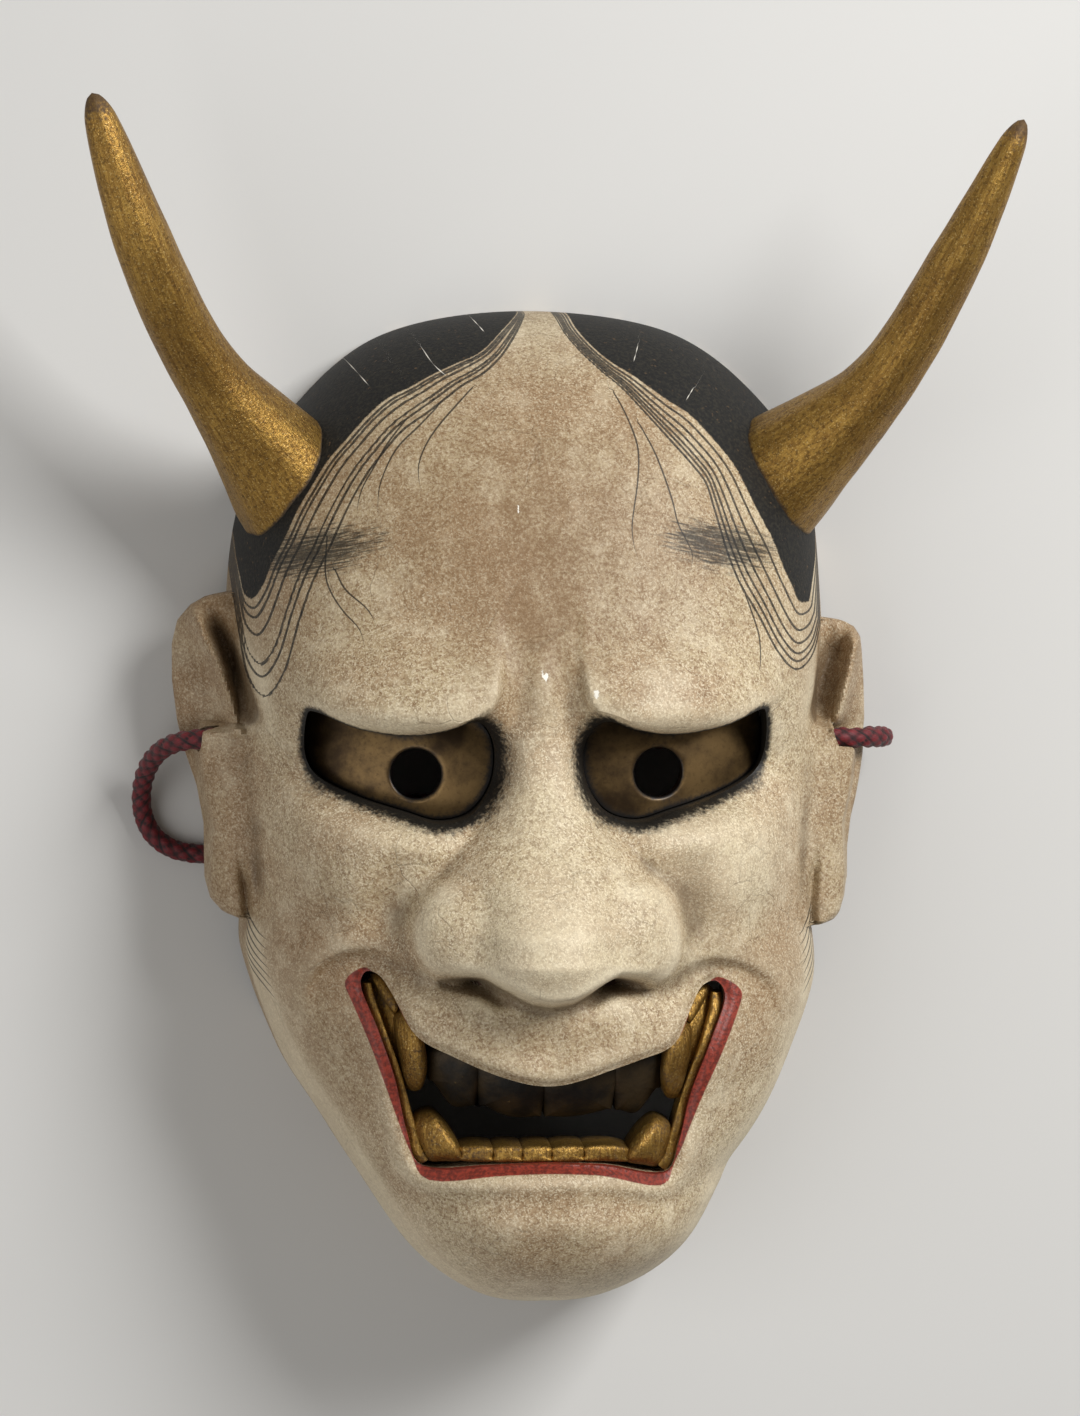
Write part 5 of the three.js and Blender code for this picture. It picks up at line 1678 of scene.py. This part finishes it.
@dataclass
class MaskShell:
    """The carved wooden shell with its ears, open at eyes, mouth and cord holes."""

    carving: Carving
    columns: int = 240
    rows: int = 304
    coarser: int = 4
    eye_set_back: float = 11.2
    eye_plate: float = 1.8
    pupil: float = 10.6
    pupil_shoulder: float = 0.7
    pupil_centre: tuple[float, float] = (25.6, -0.6)
    mouth_collar: float = 4.5
    collar_deep: float = 21.0
    hole_play: float = 0.45
    touch: float = 0.3

    def eye_front(self, x: Array, y: Array) -> Array:
        """Front of an eye plate: the dome let back, a little domed itself."""
        u, v = (np.abs(x) - 28) / 22, y / 12
        swell = 1.8 * np.clip(1 - u * u - v * v, 0, 1) + 2.2 * ease(u)
        return self.carving.depth * self.carving.dome_at(x, y) - self.eye_set_back + swell

    def slab(self, box: Sequence[float], count: Sequence[int], top: Callable, bottom: Callable) -> Solid:
        """Closed solid over a rectangle between two height functions.

        Args:
            box: Its low and high x, then low and high y.
            count: Cells across and along.
            top: Height of its front at x and y.
            bottom: Height of its back.

        Returns:
            Points and faces.
        """
        x, y = np.meshgrid(np.linspace(box[0], box[1], count[0] + 1),
                           np.linspace(box[2], box[3], count[1] + 1))
        flat = np.ones_like(x)
        return between(*(np.stack([x, y, height(x, y) * flat], -1) for height in (top, bottom)))

    def build(self, bench: Bench) -> Piece:
        """Carves the shell.

        Args:
            bench: Where meshes are made.

        Returns:
            The shell, not yet dressed.
        """
        carving = self.carving
        outer = carving.sheet(self.columns, self.rows, 0, carving.face)
        inner = carving.sheet(self.columns // self.coarser, self.rows // self.coarser, carving.wall,
                              carving.hollow)
        shell = bench.make("mask_shell_carved", *between(outer, inner))
        collar = bench.make("collar", *self.slab((-48, 48, -93, -32), (60, 36),
                                                 lambda x, y: carving.masses_at(x, y) - 3,
                                                 lambda x, y: carving.depth - self.collar_deep))
        bench.cut(collar, prism(grown(MOUTH, self.mouth_collar), BEHIND_FACE, OVER), "INTERSECT")
        bench.join(shell, collar, "UNION")
        for side in Side:
            ear = bench.make("ear", *Ear(side, carving).solid())
            bench.cut(ear, between(inner, flat_at(inner, UNDER)))
            bench.join(shell, ear, "UNION")
        bench.cut(shell, prism(MOUTH, BEHIND_FACE, OVER))
        for side in Side:
            self.open_side(bench, shell, side)
        return shell

    def open_side(self, bench: Bench, shell: Piece, side: Side) -> None:
        """Cuts one side's eye pocket, pupil hole and cord hole.

        Args:
            bench: Where meshes are made.
            shell: The shell.
            side: The side.
        """
        sign = side.value
        x0, x1 = sorted((sign * 6, sign * 52))

        def floor(x: Array, y: Array) -> Array:
            """Height of the pocket's floor."""
            return self.eye_front(x, y) - self.eye_plate - self.touch

        pocket = bench.make("pocket", *self.slab((x0, x1, -14, 16), (40, 26), lambda x, y: 100.0, floor))
        bench.cut(pocket, prism(EYE * (sign, 1), BEHIND_FACE, 99), "INTERSECT")
        bench.join(shell, pocket, "DIFFERENCE")
        angle = np.linspace(0, FULL_TURN, 49)[:-1]
        radius = self.pupil / 2 + self.pupil_shoulder
        centre = np.array(self.pupil_centre) * (sign, 1)
        bench.cut(shell, prism(centre + radius * np.c_[np.cos(angle), np.sin(angle)], BEHIND_FACE, 60))
        path = np.array(TieCord.ROUTES[side][:7], float)
        path[0, 0] -= sign * 6
        bore = CORD_DIAMETER / 2 + self.hole_play
        bench.cut(shell, rings(smooth_line(path, per=4), lambda i, a: np.full(len(a), bore), 20))

    def dress(self, bench: Bench, shell: Piece, face: Material, wood: Material) -> None:
        """Notes what is painted where, and gives the shell its finishes.

        Args:
            bench: Where meshes are made.
            shell: The shell.
            face: Finish of the painted face.
            wood: Finish of the bare wood.
        """
        bench.smooth(shell, 38)
        p = bench.corners(shell)
        raster = Raster(self.carving)
        for name, values in Painting().values(p[:, 0], p[:, 1], p[:, 2], raster).items():
            bench.note(shell, name, values)
        give(shell, face, wood)
        faces = shell.data.polygons
        x, y, z = bench.back(bench.read(faces, "center")).T
        nx, ny, up = bench.read(faces, "normal").T
        h = self.carving.dome_at(x, y)
        deep = raster.at(raster.height, x, y) - z
        at_eye = (np.abs(outside_by(np.abs(x), y, EYE)) < 1.6) & (z > self.eye_front(x, y) - 3)
        at_mouth = np.abs(outside_by(x, y, MOUTH)) < 1.6
        upright = (np.abs(up) < 0.3) & (deep > 2.6) & (h > 0.5) & ~at_eye & ~at_mouth
        inward = nx * (x - self.carving.centre[0]) + ny * (y - self.carving.centre[1]) < 0
        lining = inward & (deep > 2.6) & (z < 16)
        bare = (h > 0) & ((up < -0.05) | upright | lining)
        faces.foreach_set("material_index", bare.astype(np.int32))
        bench.lean(shell)
        settle(shell, "painted_wood", "mask_shell")


@dataclass
class EyePlate:
    """A domed sheet of metal with a round pupil hole."""

    side: Side
    shell: MaskShell
    around: int = 180
    count: int = 18

    def build(self, bench: Bench, metal: Material) -> None:
        """Makes the plate, as rings from the hole out over its front and in again over its back.

        Args:
            bench: Where meshes are made.
            metal: Its finish.
        """
        sign = self.side.value
        centre = np.array(self.shell.pupil_centre) * (sign, 1)
        outline = grown(smooth_line(EYE_OUTLINE, closed=True, per=16) * (sign, 1), -self.shell.touch) - centre
        angle = np.arctan2(outline[:, 1], outline[:, 0])
        order = np.argsort(angle)
        even = np.arange(self.around) * FULL_TURN / self.around - np.pi
        reach = np.interp(even, angle[order], np.hypot(*outline[order].T), period=FULL_TURN)
        hole = self.shell.pupil / 2
        r = hole + (reach - hole) * ease(np.linspace(0, 1, self.count + 1))[:, None]
        x, y = centre[0] + r * np.cos(even), centre[1] + r * np.sin(even)
        dome = self.shell.eye_front(x, y)
        front = np.stack([x, y, dome - 0.5 * np.clip(1 - (r - hole) / 0.8, 0, 1) ** 2], -1)
        back = np.stack([x, y, dome - self.shell.eye_plate], -1)
        points = np.concatenate([front, back[::-1]]).reshape(-1, 3)
        plate = bench.make(f"eye_plate_{self.side.word}", points, bands(2 * len(r), self.around, False, True))
        bench.smooth(plate, 40)
        # Painted shade where the plate meets the lids' edge and round the pupil hole.
        painted_edge_shade = np.exp(-((reach - r) / 1.6)) + 0.9 * np.exp(-((r - hole) / 0.5))
        bench.note(plate, "bare", np.concatenate([painted_edge_shade, painted_edge_shade[::-1]]).ravel())
        give(plate, metal)
        settle(plate, "eye_metal", f"eye_{self.side.word}")


@dataclass
class Teeth:
    """The two rows of teeth, built tooth by tooth behind the lips."""

    carving: Carving
    back: float = 49.0

    # Outlines on the right, those of the side teeth each with its recess, rounding, rise and lean
    UPPER_SIDE = [
        ([(31.4, -51), (31.3, -56.3), (30.8, -60.6), (30.2, -64), (28.9, -66.5), (27.4, -67.3), (25.8, -66.6),
          (24.9, -64), (24.7, -60.5), (25.6, -55), (28.4, -50)], 4.6, 2.2, 1.4, 0.6),
        ([(35.6, -43.6), (34.4, -46.4), (32.6, -49.2), (31.2, -50.7), (30.4, -49.2), (31.2, -46.2),
          (33, -43.8), (34.6, -42.8)], 4.8, 1.2, 0.8),
        ([(36.4, -45), (34.8, -52), (32.8, -59), (30.4, -66.5), (27.6, -66), (29.4, -58), (31.4, -50),
          (34.8, -44.2)], 6.4, 0.8, 0.2)]
    LOWER_FANG = [(25.6, -71.4), (23.4, -71.2), (20.8, -73.4), (18.6, -76.4), (17.4, -79), (17.5, -81),
                  (21, -81.4), (24.4, -81.4), (26.6, -78), (27.8, -74.4), (27.2, -72.4)]
    RIBBON = [(36.6, -44.6), (36, -49), (34.6, -54), (33, -59), (31.4, -64), (30, -69), (28.6, -74),
              (27.2, -78.6), (25.2, -81.6)]

    def front(self, recess: float) -> Height:
        """Height a set distance behind the face's masses."""
        return lambda x, y: self.carving.masses_at(x, y) - recess

    def tooth(self, outline: Points, recess: float, radius: float, rise: float, lean: float = 0.0) -> Solid:
        """One tooth over a smooth outline.

        Args:
            outline: Its outline's points.
            recess: How far its front lies behind the face's masses.
            radius: Radius of its rounded edge.
            rise: How much its middle swells.
            lean: How much nearer its lower end lies.

        Returns:
            Points and faces.
        """
        line = smooth_line(outline, closed=True, per=8)
        centre = line.mean(0)
        front = self.front(recess)
        return disc(line, centre, lambda x, y: front(x, y) - lean * (y - centre[1]) / 10, self.back, radius,
                    rise)

    def strip(self, line: Points, widths: Sequence[float], recess: float, rise: float) -> Solid:
        """A rounded strip along a line, such as a run of small side teeth.

        Args:
            line: Its middle line.
            widths: Its half widths spread along it.
            recess: How far its front lies behind the face's masses.
            rise: How much its middle swells.

        Returns:
            Points and faces.
        """
        middle = smooth_line(line, per=10)
        along = unit(np.gradient(middle, axis=0))
        across = np.c_[along[:, 1], -along[:, 0]]
        share = np.linspace(0, 1, len(middle))
        half = spread(share, widths)
        t = np.sin(np.linspace(-np.pi / 2, np.pi / 2, 11))
        flat = middle[:, None] + across[:, None] * (half[:, None] * t)[..., None]
        bumps = 0.35 * np.abs(np.sin(share * np.pi * 5))[:, None]
        swell = (rise + bumps) * np.sqrt(np.clip(1 - t ** 2, 0, 1))
        top = np.concatenate([flat, (self.front(recess)(flat[..., 0], flat[..., 1]) + swell)[..., None]], -1)
        points, faces = between(top, flat_at(top, self.back))
        return points, [face[::-1] for face in faces] if self.clockwise(top) else faces

    @staticmethod
    def clockwise(sheet: Array) -> bool:
        """Whether a sheet's cells run clockwise seen from the front."""
        a, b = sheet[0, 1] - sheet[0, 0], sheet[1, 0] - sheet[0, 0]
        return bool(a[0] * b[1] - a[1] * b[0] < 0)

    def finish(self, bench: Bench, name: str, parts: list, materials: Sequence, kinds: Sequence[int],
               node: str) -> None:
        """Joins a row's solids into one piece and dresses it.

        Args:
            bench: Where meshes are made.
            name: Name of the piece.
            parts: The solids.
            materials: Its finishes.
            kinds: Which finish each solid takes.
            node: The CAD node it stands for.
        """
        piece = bench.make(name, *gathered(parts))
        bench.smooth(piece, 45)
        give(piece, *materials)
        index = np.concatenate([np.full(len(f), kind) for (_, f), kind in zip(parts, kinds)]).astype(np.int32)
        if len(index) == len(piece.data.polygons):
            piece.data.polygons.foreach_set("material_index", index)
        p = bench.corners(piece)
        # Painted shade: the deeper a tooth sits behind the lips, the darker it is.
        behind = self.carving.masses_at(p[:, 0], p[:, 1]) - p[:, 2]
        bench.note(piece, "recess", np.clip((behind - 6.5) / 4, 0, 0.8))
        bench.note(piece, "bare", 0.25 + 0.3 * uneven(p[:, 0], p[:, 1], 9, 5))
        bench.note(piece, "along", np.c_[p[:, 1], p[:, 0], p[:, 2]])
        bench.lean(piece)
        settle(piece, "gilt", node)

    def build(self, bench: Bench, gilt: Material, dark: Material) -> None:
        """Makes both rows.

        Args:
            bench: Where meshes are made.
            gilt: Finish of the fangs, side teeth and lower row.
            dark: Finish of the upper front teeth.
        """
        upper, lower = [], []
        seams = [(-24.6, -65.2), (-14, -69.6), (-0.2, -71.6), (14.8, -70.4), (25.4, -65.6)]
        gap = 0.18
        for (a, low_a), (b, low_b) in zip(seams, seams[1:]):
            upper.append(self.tooth([(a + gap, -58), (b - gap, -58), (b - gap, low_b + 0.8),
                                     (b - 1.6, low_b - 0.5), ((a + b) / 2, min(low_a, low_b) - 0.6),
                                     (a + 1.6, low_a - 0.5), (a + gap, low_a + 0.8)], 9.0, 1.6, 1.3))
        kinds = [1] * len(upper)
        for sign in (-1, 1):
            for outline, *shape in self.UPPER_SIDE:
                upper.append(self.tooth(np.array(outline) * (sign, 1), *shape))
                kinds.append(0)
        self.finish(bench, "upper_teeth", upper, (gilt, dark), kinds, "teeth_upper")

        marks = [-17.8, -10.9, -4.8, 1.4, 8.3, 17.8]
        for a, b in zip(marks, marks[1:]):
            left, middle, right = a + 0.05, (a + b) / 2, b - 0.05
            lower.append(self.tooth([(left, -78), (middle, -77.5), (right, -78), (right, -80), (right, -80.9),
                                     (middle, -81.1), (left, -80.9), (left, -79.6)], 3.8, 0.8, 0.5))
        widths = [0.9, 1.3, 1.4, 1.5, 1.5, 1.6, 1.6, 1.2]
        for sign in (-1, 1):
            lower.append(self.tooth(np.array(self.LOWER_FANG) * (sign, 1), 3.2, 2.4, 1.5, 0.5))
            lower.append(self.strip(np.array(self.RIBBON) * (sign, 1), widths, 3.6, 0.9))
        self.finish(bench, "lower_teeth", lower, (gilt,), [0] * len(lower), "teeth_lower")


@dataclass
class Horn:
    """A gilt horn that grows out of the temple and ends at the head's surface."""

    side: Side
    carving: Carving
    count: int = 170
    sides: int = 56

    MARKS = {
        Side.LEFT: [(-52.6, 62.2, 27), (-72.3, 88.9, 44), (-83.2, 113, 56), (-92.8, 141.6, 63)],
        Side.RIGHT: [(53.3, 61.1, 27), (73.9, 81.8, 44), (88.3, 108, 56), (101.3, 136.6, 63)],
    }
    SHARES = [0, 0.22, 0.36, 0.46, 0.54, 0.65, 0.76, 0.87, 0.93, 1]
    RADII = {
        Side.LEFT: [14.2, 14.2, 10.2, 7.7, 6.9, 6.6, 6.1, 4.9, 4.0, 2.4],
        Side.RIGHT: [14.2, 14.2, 10.2, 7.6, 6.6, 6.1, 5.5, 4.2, 3.4, 2.0],
    }

    def path(self) -> Array:
        """Its centreline from inside the head to the tip, in even steps."""
        marks = np.array(self.MARKS[self.side], float)
        root = 2 * marks[0] - marks[1]
        marks = np.vstack([root + (marks[0] - root) * 0.1, marks])
        return evenly(centripetal(marks), self.count)

    def build(self, bench: Bench, gilt: Material) -> None:
        """Makes the horn.

        Args:
            bench: Where meshes are made.
            gilt: Its finish.
        """
        path = self.path()
        share = np.linspace(0, 1, self.count)
        radius = np.interp(share, self.SHARES, self.RADII[self.side])
        kernel = np.hanning(19)
        padded = np.pad(radius, 9, mode="edge")
        radius = np.convolve(padded, kernel / kernel.sum(), "valid")
        tip = np.clip((1 - share) / 0.045, 0, 1)
        radius = radius * np.sqrt(np.maximum(1 - (1 - tip) ** 2, 1e-4))
        seed = 20 + self.side.value

        def section(i: int, angles: Array) -> Array:
            """Radii round ring i, knife-cut a little uneven, with a spine along the front."""
            facets = 0.016 * np.sin(angles * 5 + 3 * share[i]) + 0.008 * np.sin(angles * 11 - 5 * share[i])
            spine = ease((0.88 - share[i]) / 0.3) * ease((share[i] - 0.3) / 0.15)
            facets = facets + 0.05 * spine * fading(angles - 4.62, 0.24)
            return radius[i] * (1 + facets + 0.008 * uneven(angles * 6, share[i] * 160, 18, seed))

        horn = bench.make(f"horn_{self.side.word}_gilt", *rings(path, section, self.sides))
        skin = self.carving.sheet(110, 140, 0, self.carving.face) - (0, 0, 0.15)
        bench.cut(horn, between(skin, flat_at(skin, UNDER)))
        bench.smooth(horn, 50)
        p = bench.corners(horn)
        order = np.argmin(((p[:, None, :] - path[None]) ** 2).sum(-1), axis=1)
        at = share[order]
        run = at * run_along(path)[-1]
        out = p - path[order]
        angle = np.arctan2(out[:, 2], out[:, 0])
        bench.note(horn, "along", np.c_[run, radius[order] * np.cos(angle), radius[order] * np.sin(angle)])
        lift = p[:, 2] - self.carving.face_at(p[:, 0], p[:, 1])
        in_head = self.carving.dome_at(p[:, 0], p[:, 1]) > 0
        # Darker and more worn where the horn meets the head.
        foot = np.where(in_head, np.exp(-np.maximum(lift, 0)), 0)
        bench.note(horn, "recess", foot)
        bench.note(horn, "bare", 0.9 * ease((at - 0.93) / 0.08) + 0.12 + 0.5 * foot)
        give(horn, gilt)
        settle(horn, "gilt", f"horn_{self.side.word}")


def centripetal(points: Array, per: int = 60) -> Array:
    """A curve through points whose speed follows the root of their spacing.

    Args:
        points: The points.
        per: Steps from one to the next.

    Returns:
        The curve's points.
    """
    ends = np.vstack([2 * points[0] - points[1], points, 2 * points[-1] - points[-2]])
    out = []
    for p0, p1, p2, p3 in zip(ends, ends[1:], ends[2:], ends[3:]):
        t0 = 0.0
        t1 = t0 + np.linalg.norm(p1 - p0) ** 0.5
        t2 = t1 + np.linalg.norm(p2 - p1) ** 0.5
        t3 = t2 + np.linalg.norm(p3 - p2) ** 0.5
        t = np.linspace(t1, t2, per + 1)[:, None]
        a1 = (t1 - t) / (t1 - t0) * p0 + (t - t0) / (t1 - t0) * p1
        a2 = (t2 - t) / (t2 - t1) * p1 + (t - t1) / (t2 - t1) * p2
        a3 = (t3 - t) / (t3 - t2) * p2 + (t - t2) / (t3 - t2) * p3
        b1 = (t2 - t) / (t2 - t0) * a1 + (t - t0) / (t2 - t0) * a2
        b2 = (t3 - t) / (t3 - t1) * a2 + (t - t1) / (t3 - t1) * a3
        out.append(((t2 - t) / (t2 - t1) * b1 + (t - t1) / (t2 - t1) * b2)[:-1])
    return np.vstack([*out, points[-1:]])


def main() -> None:
    """Builds the mask in the frame, from the camera and cords to the finishes."""
    logging.basicConfig(level=logging.INFO, format="%(name)s: %(message)s")
    bench = Bench()
    studio = Studio()
    studio.shoot(bench)
    fx = Effects()
    silk = SilkBraid().build(fx)
    for side in Side:
        TieCord(side).build(bench, silk)
    carving = Carving()
    gilt = WornGilt().build(fx)
    shell = MaskShell(carving)
    carved = shell.build(bench)
    shell.dress(bench, carved, PaintedFace().build(fx), HollowWood().build(fx))
    metal = BrownedMetal().build(fx)
    for side in Side:
        EyePlate(side, shell).build(bench, metal)
        Horn(side, carving).build(bench, gilt)
    Teeth(carving).build(bench, gilt, TarnishedAndShadedTeeth().build(fx))
    studio.light()


if __name__ == "__main__":
    main()
